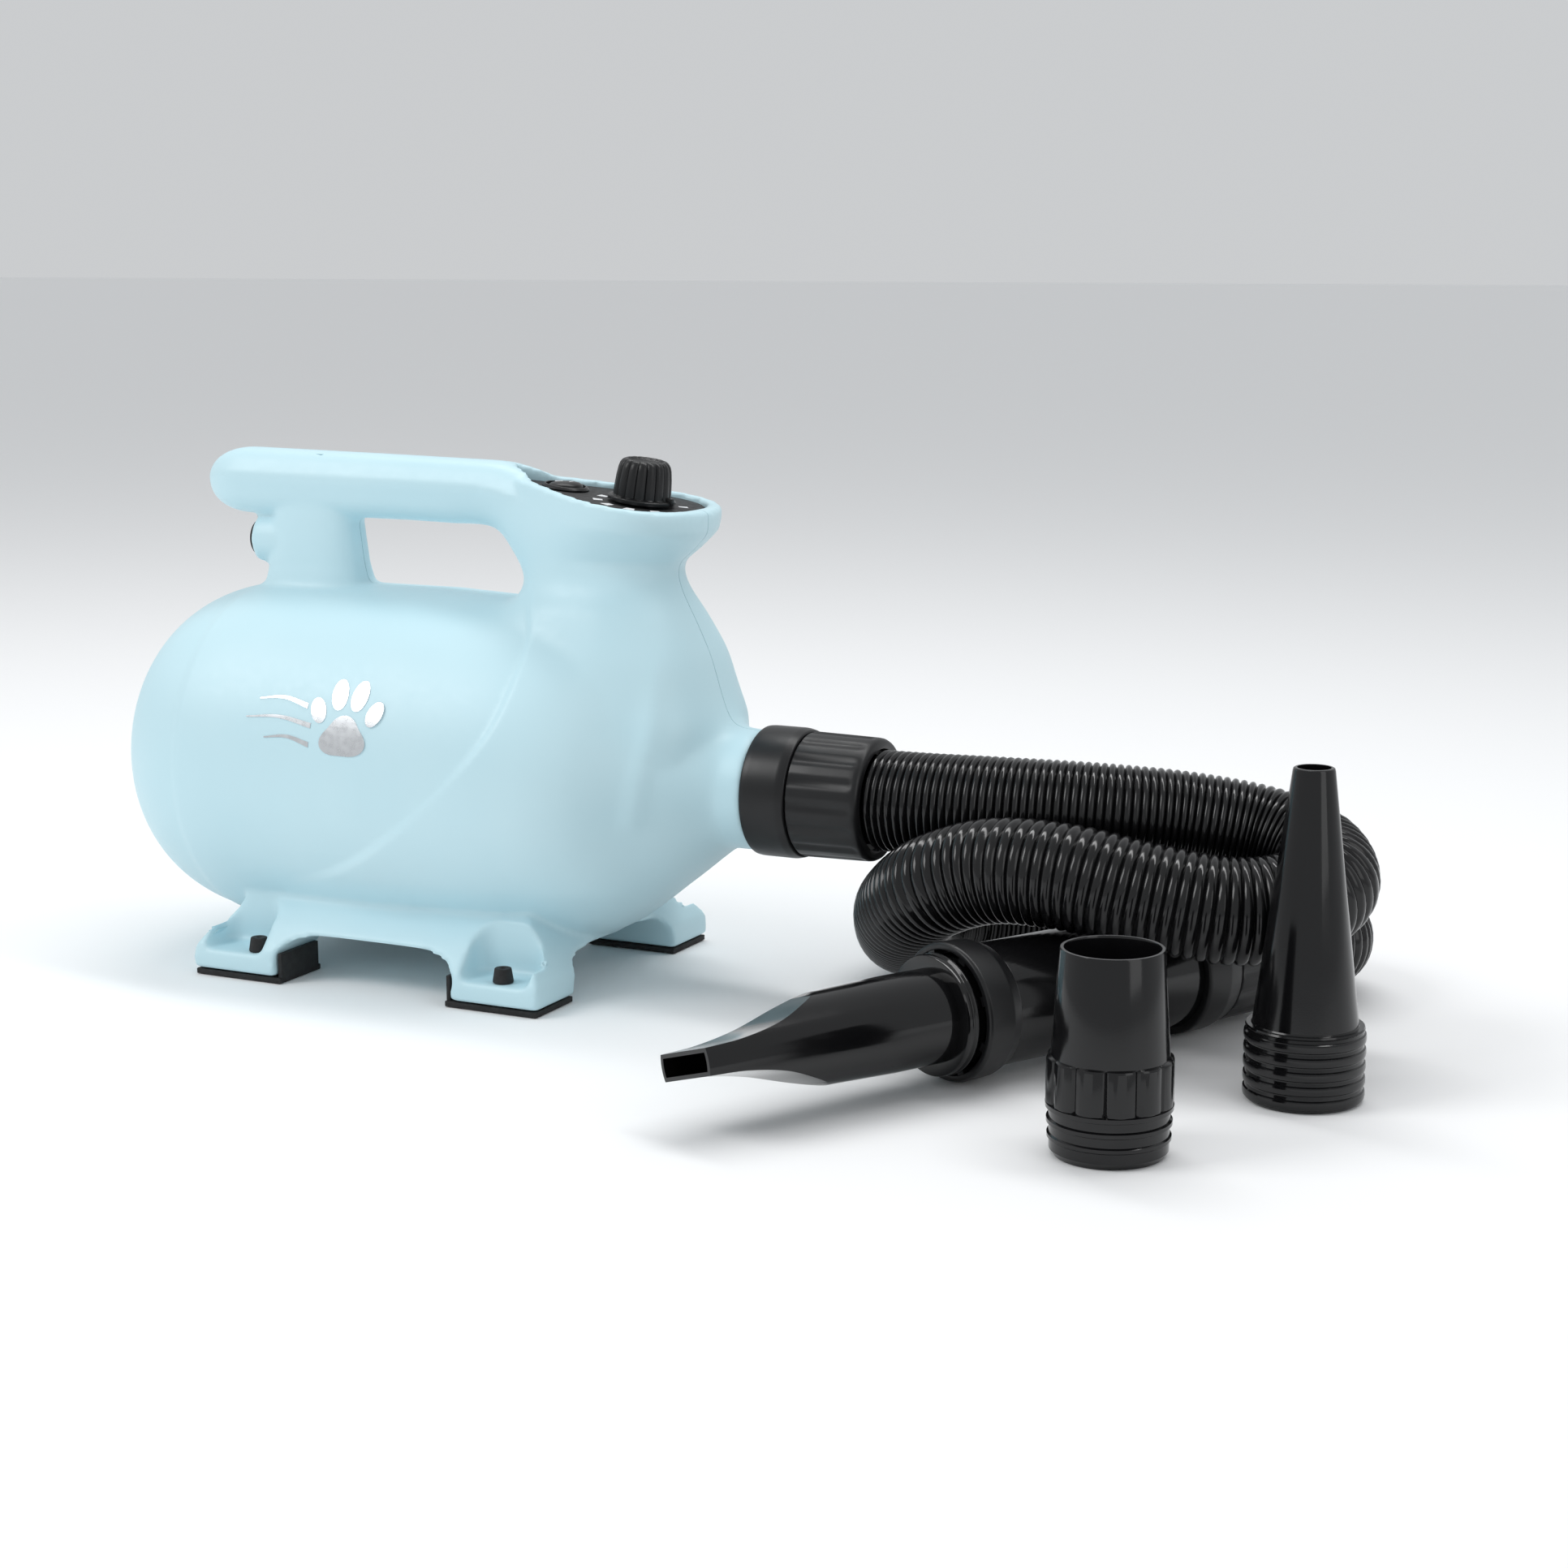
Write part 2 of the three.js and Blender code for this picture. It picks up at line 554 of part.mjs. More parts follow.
// Rubber feet: a pad under each foot, a stem through the shell with a plug that holds it,
// and an upright block on the face towards the long arch.
const FEET = ['rear_near', 'front_near', 'rear_far', 'front_far'];
WELLS.forEach(({ x, y, side }, i) => {
  const end = Math.sign(x);
  const [inner, outer] = [BASE_HALF_LENGTH - FOOT_LENGTH, BASE_HALF_LENGTH];
  const middleY = side * (BASE_HALF_WIDTH - FOOT_WIDTH / 2);
  const halfY = FOOT_WIDTH / 2 - 1.2;
  const xs = [end * (inner + 1), end * (outer - 1)].sort((a, b) => a - b);
  const pad = block(xs[0], xs[1], middleY - halfY, middleY + halfY, 0, PAD_THICKNESS);
  const faceX = [end * (inner - 3), end * (inner + 1.2)].sort((a, b) => a - b);
  const strip = block(faceX[0], faceX[1], middleY - halfY, middleY + halfY, 0, PAD_THICKNESS);
  const backX = [end * (inner - 3), end * (inner - GAP - 0.4)].sort((a, b) => a - b);
  const upright = block(backX[0], backX[1], middleY - halfY + 1.5, middleY + halfY - 1.5, 0,
    FOOT_WALL_HEIGHT);
  const stem = post(x, y, PAD_THICKNESS - 1, WELL_FLOOR + GAP + 1, FOOT_STEM_RADIUS, 10);
  const plugShape = new THREE.CylinderGeometry(FOOT_PLUG_RADIUS - 1, FOOT_PLUG_RADIUS, 7, 16);
  plugShape.rotateX(Math.PI / 2);
  plugShape.translate(x, y, WELL_FLOOR + GAP + 3.5);
  piece(`foot_${FEET[i]}`, join([pad, strip, upright, stem, solid(plugShape)]), paint.rubber, machine);
});

// ---- Control panel, in its own sloping frame ----
machine.add(panelFrame);
const PANEL_TOP = PANEL_THICKNESS - PANEL_RECESS + GAP;
const switchX = alongPanel(SWITCH_X);
const knobX = alongPanel(KNOB_X);
const BUSHING_RADIUS = 4.5;
const SWITCH_BODY_RADIUS = BEZEL_RADIUS - 1.2;
const SWITCH_BORE = BUTTON_RADIUS + 0.7;
piece(
  'control_panel',
  solid(raised(panelOutline(0.5), PANEL_TOP - PANEL_THICKNESS, PANEL_TOP))
    .subtract(post(switchX, 0, -20, 5, SWITCH_BODY_RADIUS + GAP, 24))
    .subtract(post(knobX, 0, -20, 5, BUSHING_RADIUS + GAP, 16)),
  paint.panel,
  panelFrame,
);

const switchFrame = new THREE.Group();
switchFrame.position.x = switchX;
panelFrame.add(switchFrame);
const BEZEL_TOP = PANEL_TOP + 2;
piece(
  'switch_body',
  upright(
    [[-24, 0], [-24, SWITCH_BODY_RADIUS], [PANEL_TOP + GAP, SWITCH_BODY_RADIUS],
    [PANEL_TOP + GAP, BEZEL_RADIUS],
      [BEZEL_TOP - 0.6, BEZEL_RADIUS], [BEZEL_TOP, BEZEL_RADIUS - 0.6], [BEZEL_TOP, SWITCH_BORE],
      [-10, SWITCH_BORE], [-10, 0]],
  ),
  paint.black,
  switchFrame,
);

// Round rocker: a dished cap that tips about the cross axis, resting on its O side.
const rockerFrame = new THREE.Group();
rockerFrame.position.z = PANEL_TOP - 1;
rockerFrame.rotation.y = THREE.MathUtils.degToRad(-ROCKER_TILT);
switchFrame.add(rockerFrame);
const saddle = crossRod(0, 33, -20, 20, 30, 40);
piece('rocker_button', post(0, 0, -3, 4.6, BUTTON_RADIUS, 28).subtract(saddle), paint.black, rockerFrame);

// Dimmer under the panel, its shaft and the fluted knob.
const knobFrame = new THREE.Group();
knobFrame.position.x = knobX;
panelFrame.add(knobFrame);
const underPanel = PANEL_TOP - PANEL_THICKNESS - GAP;
const dimmerBody = post(0, 0, underPanel - 12, underPanel, 8.5, 16);
const bushing = post(0, 0, underPanel - 1, PANEL_TOP + 0.6, BUSHING_RADIUS, 16);
const shaftBore = post(0, 0, underPanel - 8, PANEL_TOP + 2, DIMMER_SHAFT_RADIUS + GAP, 12);
piece('speed_dimmer', dimmerBody.add(bushing).subtract(shaftBore), paint.alloy, knobFrame);

const KNOB_FOOT = PANEL_TOP + 1;
piece('dimmer_shaft', post(0, 0, underPanel - 7, KNOB_FOOT + 12, DIMMER_SHAFT_RADIUS, 10),
  paint.brass, knobFrame);

function knob() {
  const ringPoints = (radius, depth) => {
    const count = KNOB_FLUTES * 2;
    return Array.from({ length: count }, (_, i) => {
      const angle = (i / count) * 2 * Math.PI;
      const r = radius - (i % 2) * depth;
      return [r * Math.cos(angle), r * Math.sin(angle)];
    });
  };
  const rows = [[2, 1, 0.7], [KNOB_HEIGHT * 0.5, 0.95, 0.7], [KNOB_HEIGHT * 0.86, 0.89, 0.7],
    [KNOB_HEIGHT, 0.72, 0.9]];
  const grip = loft(
    rows.map(([z, size, depth]) => {
      return ringPoints(KNOB_RADIUS * size, depth).map(([x, y]) => new THREE.Vector3(x, y,
        KNOB_FOOT + z));
    }),
  );
  const skirt = post(0, 0, KNOB_FOOT, KNOB_FOOT + 2.4, KNOB_SKIRT_RADIUS, 32);
  const pointer = block(KNOB_RADIUS - 1, KNOB_SKIRT_RADIUS + 0.6, -1.1, 1.1, KNOB_FOOT + 1,
    KNOB_FOOT + 4.2);
  const bore = post(0, 0, KNOB_FOOT - 1, KNOB_FOOT + 12 + GAP, DIMMER_SHAFT_RADIUS + GAP, 12);
  const dish = new THREE.SphereGeometry(30, 20, 14);
  dish.translate(0, 0, KNOB_FOOT + KNOB_HEIGHT + 28.8);
  return join([grip, skirt, pointer]).subtract(bore).subtract(solid(dish));
}
piece('speed_knob', knob(), paint.black, knobFrame);

// ---- Blower, on the body's axis ----
const blower = new THREE.Group();
blower.position.z = AXIS_Z;
machine.add(blower);

// Intake: a slotted cover in the socket of the rear dome, with the filter foam behind it.
function intakeCover() {
  const edge = REAR_X + 6.5;
  const bow = turned(
    [[REAR_X + 0.5, 0], [REAR_X + 1.2, 18], [REAR_X + 3, 32], [edge - 1.5, INTAKE_RADIUS - 1],
    [edge, INTAKE_RADIUS],
      [REAR_X + 16, INTAKE_RADIUS], [REAR_X + 16, INTAKE_RADIUS - 2.4], [edge + 1.5, INTAKE_RADIUS - 2.4],
      [REAR_X + 6, 32], [REAR_X + 4.2, 18], [REAR_X + 3.5, 0]],
  );
  const slots = [];
  for (let row = -2; row <= 2; row++) {
    const z = row * 12;
    const half = Math.sqrt((INTAKE_RADIUS - 8) ** 2 - z * z);
    slots.push(block(REAR_X - 2, REAR_X + 14, -half, -1.8, z - 2.4, z + 2.4));
    slots.push(block(REAR_X - 2, REAR_X + 14, 1.8, half, z - 2.4, z + 2.4));
  }
  return bow.subtract(join(slots));
}
piece('intake_cover', intakeCover(), paint.housing, blower);
piece('filter_foam', ring(REAR_X + 9.5, REAR_X + 23.5, INTAKE_RADIUS - 3, 0), paint.foam, blower);

// Two-stage fan case on rubber rings, with the motor behind it in the air stream.
const fanEnd = FAN_REAR_X + FAN_LENGTH;
const fanSplit = FAN_REAR_X + FAN_LENGTH * 0.58;
const sheet = 1.4;
piece(
  'fan_case_rear',
  turned(
    [[FAN_REAR_X, 19], [FAN_REAR_X, FAN_RADIUS - 3], [FAN_REAR_X + 3, FAN_RADIUS], [fanSplit, FAN_RADIUS],
      [fanSplit, FAN_RADIUS - sheet], [FAN_REAR_X + 3.4, FAN_RADIUS - sheet],
      [FAN_REAR_X + sheet, FAN_RADIUS - 4],
      [FAN_REAR_X + sheet, 19], [FAN_REAR_X, 19]],
  ),
  paint.alloy,
  blower,
);
const bearingSeat = BEARING_RADIUS + 2;
piece(
  'fan_case_front',
  turned(
    [[fanSplit + GAP, FAN_RADIUS - sheet], [fanSplit + GAP, FAN_RADIUS], [fanEnd - 3, FAN_RADIUS],
    [fanEnd, FAN_RADIUS - 3],
      [fanEnd, BEARING_RADIUS + GAP], [fanEnd - 8, BEARING_RADIUS + GAP], [fanEnd - 8, bearingSeat],
      [fanEnd - 2, bearingSeat],
      [fanEnd - 2, FAN_RADIUS - 5], [fanEnd - 4, FAN_RADIUS - sheet],
      [fanSplit + GAP, FAN_RADIUS - sheet]],
  ),
  paint.alloy,
  blower,
);

const VANES = 6;
function impeller(x) {
  const hub = ring(x, x + 12, 9, SHAFT_RADIUS + 0.2);
  const plate = ring(x + 10.5, x + 12, FAN_RADIUS - 7, 8);
  const vanes = [];
  for (let i = 0; i < VANES; i++) {
    const vane = new THREE.BoxGeometry(10.6, 1.4, FAN_RADIUS - 18);
    vane.translate(x + 5.6, 0, (FAN_RADIUS - 18) / 2 + 9);
    vane.rotateX(0.001);
    vane.translate(0, 5, 0);
    vane.rotateX((i / VANES) * 2 * Math.PI);
    vanes.push(solid(vane));
  }
  return join([hub, plate, ...vanes]);
}
piece('impeller_first', impeller(FAN_REAR_X + 4), paint.alloy, blower);
piece('impeller_second', impeller(fanSplit + 2), paint.alloy, blower);
piece(
  'stage_plate',
  ring(FAN_REAR_X + 20, FAN_REAR_X + 23, FAN_RADIUS - sheet - GAP, 17)
    .add(ring(FAN_REAR_X + 23 - 0.5, fanSplit - 2, FAN_RADIUS - sheet - GAP, FAN_RADIUS - 4)),
  paint.alloy,
  blower,
);

const motorStart = fanEnd + GAP;
const motorEnd = motorStart + MOTOR_LENGTH;
function motorCase() {
  const can = turned(
    [[motorStart, MOTOR_RADIUS - 2.5], [motorStart, MOTOR_RADIUS], [motorEnd - 3, MOTOR_RADIUS],
    [motorEnd, MOTOR_RADIUS - 3],
      [motorEnd, 6], [motorEnd - 1.5, 6], [motorEnd - 1.5, BEARING_RADIUS + GAP],
      [motorEnd - 9, BEARING_RADIUS + GAP],
      [motorEnd - 9, bearingSeat], [motorEnd - 2.5, bearingSeat], [motorEnd - 2.5, MOTOR_RADIUS - 4],
      [motorEnd - 4, MOTOR_RADIUS - 2.5], [motorStart, MOTOR_RADIUS - 2.5]],
  );
  const vents = [];
  for (let i = 0; i < 6; i++) {
    const vent = new THREE.CylinderGeometry(6, 6, 12, 8);
    vent.rotateZ(Math.PI / 2);
    const angle = (i / 6) * 2 * Math.PI + 0.3;
    const reach = (bearingSeat + MOTOR_RADIUS - 3) / 2;
    vent.translate(motorEnd, reach * Math.cos(angle), reach * Math.sin(angle));
    vents.push(solid(vent));
  }
  return can.subtract(join(vents));
}
piece('motor_case', motorCase(), paint.alloy, blower);
const coreRadius = MOTOR_RADIUS * 0.58;
piece('field_stack', ring(motorStart + 12, motorStart + 48, MOTOR_RADIUS - 2.8, coreRadius + 0.8),
  paint.copper, blower);
piece(
  'armature',
  turned(
    [[motorStart + 8, SHAFT_RADIUS + 0.2], [motorStart + 8, coreRadius - 7],
    [motorStart + 13, coreRadius - 6],
      [motorStart + 13, coreRadius], [motorStart + 45, coreRadius], [motorStart + 45, coreRadius - 6],
      [motorStart + 49, coreRadius - 8], [motorStart + 49, SHAFT_RADIUS + 0.2],
      [motorStart + 8, SHAFT_RADIUS + 0.2]],
  ),
  paint.copper,
  blower,
);
piece('commutator', ring(motorStart + 49.3, motorStart + 60, 11.5, SHAFT_RADIUS + 0.2), paint.copper,
  blower);
for (const [name, side] of [['near', -1], ['far', 1]]) {
  const reach = [side * 12, side * (MOTOR_RADIUS - 6)].sort((a, b) => a - b);
  piece(`brush_holder_${name}`, block(motorStart + 51, motorStart + 58.5, reach[0], reach[1], -4, 4),
    paint.brass, blower);
}
piece('motor_shaft', ring(FAN_REAR_X + 3, motorEnd + 2, SHAFT_RADIUS, 0), paint.steel, blower);
piece('bearing_rear', ring(fanEnd - 7.5, fanEnd - 0.5, BEARING_RADIUS, SHAFT_RADIUS + 0.2),
  paint.steel, blower);
piece('bearing_front', ring(motorEnd - 9, motorEnd - 2, BEARING_RADIUS, SHAFT_RADIUS + 0.2),
  paint.steel, blower);
MOUNTS.forEach(([x0, x1, radius], i) => {
  const name = ['mount_ring_rear', 'mount_ring_front'][i];
  const ribMiddle = (x0 + x1) / 2;
  piece(
    name,
    turned(
      [[x0, radius + GAP], [x0, radius + MOUNT_RUBBER + 3], [ribMiddle - 2, radius + MOUNT_RUBBER + 3],
        [ribMiddle - 2, radius + MOUNT_RUBBER], [ribMiddle + 2, radius + MOUNT_RUBBER],
        [ribMiddle + 2, radius + MOUNT_RUBBER + 3], [x1, radius + MOUNT_RUBBER + 3],
        [x1, radius + GAP], [x0, radius + GAP]],
    ),
    paint.rubber,
    blower,
  );
});
piece('sound_foam', ring(motorEnd + 12, motorEnd + 62, BODY_RADIUS * 0.72, BODY_RADIUS * 0.72 - 9),
  paint.foam, blower);

// Speed control board in the column, with its heat sink.
const boardZ = BODY_TOP - 14;
const board = block(64, 108, 9, 10.6, boardZ, boardZ + 22);
const sink = join([0, 1, 2, 3].map((i) => block(70 + 7 * i, 72.4 + 7 * i, 10.2, 19, boardZ + 2,
  boardZ + 18)));
piece('speed_board', join([board, sink, block(92, 102, 4, 9.4, boardZ + 4, boardZ + 14)]),
  paint.board, machine);

// ---- Hose fittings ----

// Fluted grip of a hose cuff, about X from x0 to x1, with a short plug in front of it.
function cuff(x0, x1, radius, plugRadius) {
  const count = CUFF_FLUTES * 2;
  const section = (x, size) => {
    return Array.from({ length: count }, (_, i) => {
      const angle = (i / count) * 2 * Math.PI;
      const r = size - (i % 2) * 1.1;
      return new THREE.Vector3(x, r * Math.cos(angle), r * Math.sin(angle));
    });
  };
  const grip = loft([section(x0, radius), section(x1 - 2.5, radius - 0.4), section(x1, radius - 2)]);
  return grip.add(ring(x0 - 8, x0 + 1, plugRadius, 0)).subtract(ring(x0 - 9, x1 + 1, AIR_RADIUS, 0));
}

// Smooth collar on the neck, plugged into it, and the cuff that twists on the hose.
const collarStart = NECK_END_X + GAP;
const collarEnd = collarStart + COLLAR_LENGTH;
const spigot = NECK_RADIUS - WALL - TWIST_GAP;
const outletPlug = AIR_RADIUS + 2.2;
const outletBore = outletPlug + TWIST_GAP;
piece(
  'outlet_collar',
  turned(
    [[collarStart - 18, outletBore], [collarStart - 18, spigot], [collarStart, spigot],
    [collarStart, COLLAR_RADIUS - 0.8],
      [collarStart + 1, COLLAR_RADIUS], [collarEnd - 3, COLLAR_RADIUS],
      [collarEnd - 0.6, COLLAR_RADIUS - 0.8],
      [collarEnd, COLLAR_RADIUS - 1.6], [collarEnd, outletBore], [collarStart - 18, outletBore]],
  ),
  paint.black,
  blower,
);
const cuffStart = collarEnd + GAP;
const cuffEnd = cuffStart + CUFF_LENGTH;
piece('hose_cuff', cuff(cuffStart, cuffEnd, CUFF_RADIUS, outletPlug), paint.black, blower);

// Wand: front collar with the nozzle socket, tube, rear collar and the hose's end cuff, lying along
// its own x axis, which points from the front collar's rim back towards the hose.
const WAND_COLLAR_RADIUS = 31;
const wand = new THREE.Group();
wand.position.set(312.4, -97.3, WAND_COLLAR_RADIUS);
wand.rotation.z = THREE.MathUtils.degToRad(WAND_ANGLE);
machine.add(wand);
const tubeStart = WAND_COLLAR_LENGTH + GAP;
const tubeEnd = tubeStart + WAND_TUBE_LENGTH;
const rearCollarStart = tubeEnd + GAP;
const rearCollarEnd = rearCollarStart + COLLAR_LENGTH;
const socketBore = SPIGOT_RADIUS + GAP;
const plugIn = 8;
piece(
  'wand_collar_front',
  turned(
    [[0, socketBore], [0, WAND_COLLAR_RADIUS - 1], [1, WAND_COLLAR_RADIUS],
    [WAND_COLLAR_LENGTH - 4, WAND_COLLAR_RADIUS - 0.4],
      [WAND_COLLAR_LENGTH, WAND_COLLAR_RADIUS - 2], [WAND_COLLAR_LENGTH, socketBore], [0, socketBore]],
  ),
  paint.black,
  wand,
);
piece(
  'wand_tube',
  turned(
    [[tubeStart - plugIn, AIR_RADIUS], [tubeStart - plugIn, SPIGOT_RADIUS],
    [tubeStart, SPIGOT_RADIUS], [tubeStart, WAND_RADIUS],
      [tubeEnd, WAND_RADIUS], [tubeEnd, SPIGOT_RADIUS], [tubeEnd + plugIn, SPIGOT_RADIUS],
      [tubeEnd + plugIn, AIR_RADIUS],
      [tubeStart - plugIn, AIR_RADIUS]],
  ),
  paint.gloss,
  wand,
);
piece(
  'wand_collar_rear',
  turned(
    [[rearCollarStart, socketBore], [rearCollarStart, WAND_COLLAR_RADIUS - 1],
    [rearCollarStart + 1, WAND_COLLAR_RADIUS],
      [rearCollarEnd - 8, WAND_COLLAR_RADIUS - 0.4], [rearCollarEnd, WAND_COLLAR_RADIUS - 2.4],
      [rearCollarEnd, socketBore],
      [rearCollarStart, socketBore]],
  ),
  paint.black,
  wand,
);
const endCuffStart = rearCollarEnd + GAP;
const endCuffEnd = endCuffStart + CUFF_LENGTH;
piece('end_cuff', cuff(endCuffStart, endCuffEnd, WAND_COLLAR_RADIUS - 2.4, SPIGOT_RADIUS),
  paint.black, wand);

// Flat nozzle: a tube pinched to a slot by two curved cuts, rolled a little about its own axis.
function flatNozzle() {
  const tip = FLAT_NOZZLE_TIP;
  const shoulder = FLAT_NOZZLE_SHOULDER;
  const mouth = FLAT_MOUTH_HALF;
  const blank = (grow, from, to) => {
    return turned(
      [[from, 0], [from, 18 + grow], [shoulder, 20 + grow], [-34, 21 + grow], [to, 21 + grow], [to, 0]],
    );
  };
  const pinch = (grow, from, to) => {
    const shape = new THREE.Shape();
    shape.moveTo(from, -mouth - grow);
    shape.lineTo(tip + 18, -mouth - 0.8 - grow);
    shape.bezierCurveTo(tip + 42, -mouth - 2 - grow, shoulder - 14, -20 - grow, shoulder + 2, -22 - grow);
    shape.lineTo(to, -30);
    shape.lineTo(to, 30);
    shape.lineTo(shoulder + 2, 22 + grow);
    shape.bezierCurveTo(shoulder - 14, 20 + grow, tip + 42, mouth + 2 + grow, tip + 18,
      mouth + 0.8 + grow);
    shape.lineTo(from, mouth + grow);
    const geometry = raised(shape, -30, 30, 7);
    geometry.rotateX(Math.PI / 2);
    return solid(geometry);
  };
  const outer = blank(0, tip, -5).intersect(pinch(0, tip, 5));
  const inner = blank(-NOZZLE_WALL, tip - 1, 20).intersect(pinch(-NOZZLE_WALL, tip - 1, 25));
  const seat = turned(
    [[-9, 0], [-9, 27], [-6, 27], [-6, 26], [-4.5, 26], [-4.5, 27], [-3, 27],
    [-3, SPIGOT_RADIUS - 0.1], [10, SPIGOT_RADIUS - 0.1], [10, 0]],
  );
  return outer.add(seat).subtract(inner);
}
const nozzleFrame = new THREE.Group();
nozzleFrame.rotation.x = THREE.MathUtils.degToRad(FLAT_NOZZLE_ROLL);
wand.add(nozzleFrame);
piece('flat_nozzle', flatNozzle(), paint.gloss, nozzleFrame);

// Hose: leaves the cuff level, folds back over the wand, drops behind it and comes round on the
// floor to the wand's end. The route's middle points are placed by hand.
const hoseStart = new THREE.Vector3(cuffEnd + GAP, 0, AXIS_Z);
const wandWay = new THREE.Vector3(1, 0, 0).applyEuler(wand.rotation);
const hoseEnd = wand.position.clone().addScaledVector(wandWay, endCuffEnd + GAP);
const HOSE_ROUTE = [
  [262, 0, 102.3], [300, 3, 102.8], [345, 13, 101.8], [384, 28, 98], [416, 36, 92.5], [440, 30, 86],
  [450, 10, 79.5],
  [441, -12, 74], [419, -27, 72.5], [384, -37, 77.5], [346, -43, 84], [312, -44, 83.5],
  [283, -40, 73], [262, -22, 57.5],
  [249, 4, 44], [238, 34, 33.5], [231, 66, 26.5], [239, 101, 24.8], [266, 129, 24.8],
  [306, 145, 24.8], [350, 153, 24.8],
  [388, 151, 25], [414, 136, 26.5], [422, 112, 29],
].map((point) => new THREE.Vector3(...point));
const nearEnd = hoseEnd.clone().addScaledVector(wandWay, 14);
const hosePath = new THREE.CatmullRomCurve3([hoseStart, ...HOSE_ROUTE, nearEnd, hoseEnd], false,
  'centripetal');
const hoseSection = new THREE.Shape().absarc(0, 0, HOSE_RADIUS, 0, 2 * Math.PI);
const hose = new THREE.ExtrudeGeometry(hoseSection, { steps: 60, curveSegments: 5,
  extrudePath: hosePath });
piece('hose', solid(hose), paint.gloss, machine);

// ---- Loose nozzles, standing on the floor ----

// Wide nozzle: ribbed spigot, lobed grip band and an open tapering tube.
const wideNozzle = new THREE.Group();
wideNozzle.position.set(410, -160, 0);
machine.add(wideNozzle);
function wideNozzleForm() {
  const top = WIDE_NOZZLE_HEIGHT;
  const tube = upright(
    [[0, 0], [0, 23], [3, 24.4], [7, 24.4], [7.6, 25.4], [9, 25.4], [9.6, 24.4], [13, 24.4],
    [13.6, 25.6], [15, 25.6],
      [15.6, 24.6], [19, 24.6], [19.6, 26], [21.4, 26], [22, 24.2], [42, 24.2], [top, 21.2], [top, 0]],
  );
  const lobes = Array.from({ length: 48 }, (_, i) => {
    const angle = (i / 48) * 2 * Math.PI;
    const r = 23.9 + 1.9 * Math.abs(Math.cos(6 * angle)) ** 0.6;
    return [r * Math.cos(angle), r * Math.sin(angle)];
  });
  const band = solid(raised(outline(lobes), 21, 41));
  const bore = upright([[-1, 0], [-1, 23 - NOZZLE_WALL], [42, 24.2 - NOZZLE_WALL],
    [top + 1, 21.1 - NOZZLE_WALL], [top + 1, 0]]);
  return tube.add(band).subtract(bore);
}
piece('wide_nozzle', wideNozzleForm(), paint.gloss, wideNozzle);

// Cone nozzle: ribbed sleeve at the foot and a long cone with a small round outlet.
const coneNozzle = new THREE.Group();
coneNozzle.position.set(460, -52, 0);
machine.add(coneNozzle);
function coneNozzleForm() {
  const top = CONE_NOZZLE_HEIGHT;
  const ribs = [];
  for (let i = 0; i < 5; i++) {
    const z = 2 + 6.2 * i;
    ribs.push([z, 25.2], [z + 1, 26], [z + 2.6, 26]);
  }
  const sleeve = upright([[0, 0], [0, 24.4], ...ribs, [31, 25.2], [32.5, 25.6], [33, 25.2],
    [33, 22.8], [top - 1, 8.9], [top, 8.4], [top, 0]]);
  const bore = upright([[-1, 0], [-1, 22], [33, 22.8 - NOZZLE_WALL], [top - 2, 7], [top + 1, 7],
    [top + 1, 0]]);
  return sleeve.subtract(bore);
}
piece('cone_nozzle', coneNozzleForm(), paint.gloss, coneNozzle);

// The origin stands on the floor under the middle of everything but the hose and its two cuffs.
const ON_THE_HOSE = ['hose', 'hose_cuff', 'end_cuff'];
dryer.updateMatrixWorld(true);
const bounds = new THREE.Box3();
machine.traverse((object) => {
  if (object.isMesh && !ON_THE_HOSE.includes(object.name)) bounds.expandByObject(object, true);
});
const middle = bounds.getCenter(new THREE.Vector3());
machine.position.set(-middle.x, -middle.y, -bounds.min.z);

export default dryer;
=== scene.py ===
import json
import math
from bisect import bisect_right

import bmesh
import bpy
from mathutils import Matrix, Vector


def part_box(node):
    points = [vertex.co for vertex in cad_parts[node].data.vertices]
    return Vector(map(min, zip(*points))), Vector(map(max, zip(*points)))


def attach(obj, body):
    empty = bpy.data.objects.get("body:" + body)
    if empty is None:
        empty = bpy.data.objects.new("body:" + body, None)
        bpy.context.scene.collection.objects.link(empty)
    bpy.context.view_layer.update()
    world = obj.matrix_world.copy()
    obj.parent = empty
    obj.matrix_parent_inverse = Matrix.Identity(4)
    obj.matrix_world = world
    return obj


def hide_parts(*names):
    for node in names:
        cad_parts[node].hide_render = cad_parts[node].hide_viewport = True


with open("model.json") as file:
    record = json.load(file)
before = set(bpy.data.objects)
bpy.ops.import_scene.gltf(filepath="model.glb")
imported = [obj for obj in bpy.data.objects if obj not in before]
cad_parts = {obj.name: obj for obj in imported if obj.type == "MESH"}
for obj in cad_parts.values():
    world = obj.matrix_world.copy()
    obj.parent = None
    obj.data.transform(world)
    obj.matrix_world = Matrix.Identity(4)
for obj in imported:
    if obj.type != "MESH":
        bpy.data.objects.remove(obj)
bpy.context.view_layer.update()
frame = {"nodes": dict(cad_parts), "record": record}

# Working frame: millimetres from the middle of the foot rectangle, on the floor. The two shells meet
# at its middle plane, and the neck of the housing ends at NECK_END.
MM = 0.001
NECK_END = 178
SEAM_GAP = 0.3
near_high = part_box("near_shell")[1]
origin = Vector((near_high.x - NECK_END * MM, near_high.y + SEAM_GAP / 2 * MM, 0))
machine = Matrix.Translation(origin) @ Matrix.Scale(MM, 4)


def at(x, y, z):
    return machine @ Vector((x, y, z))


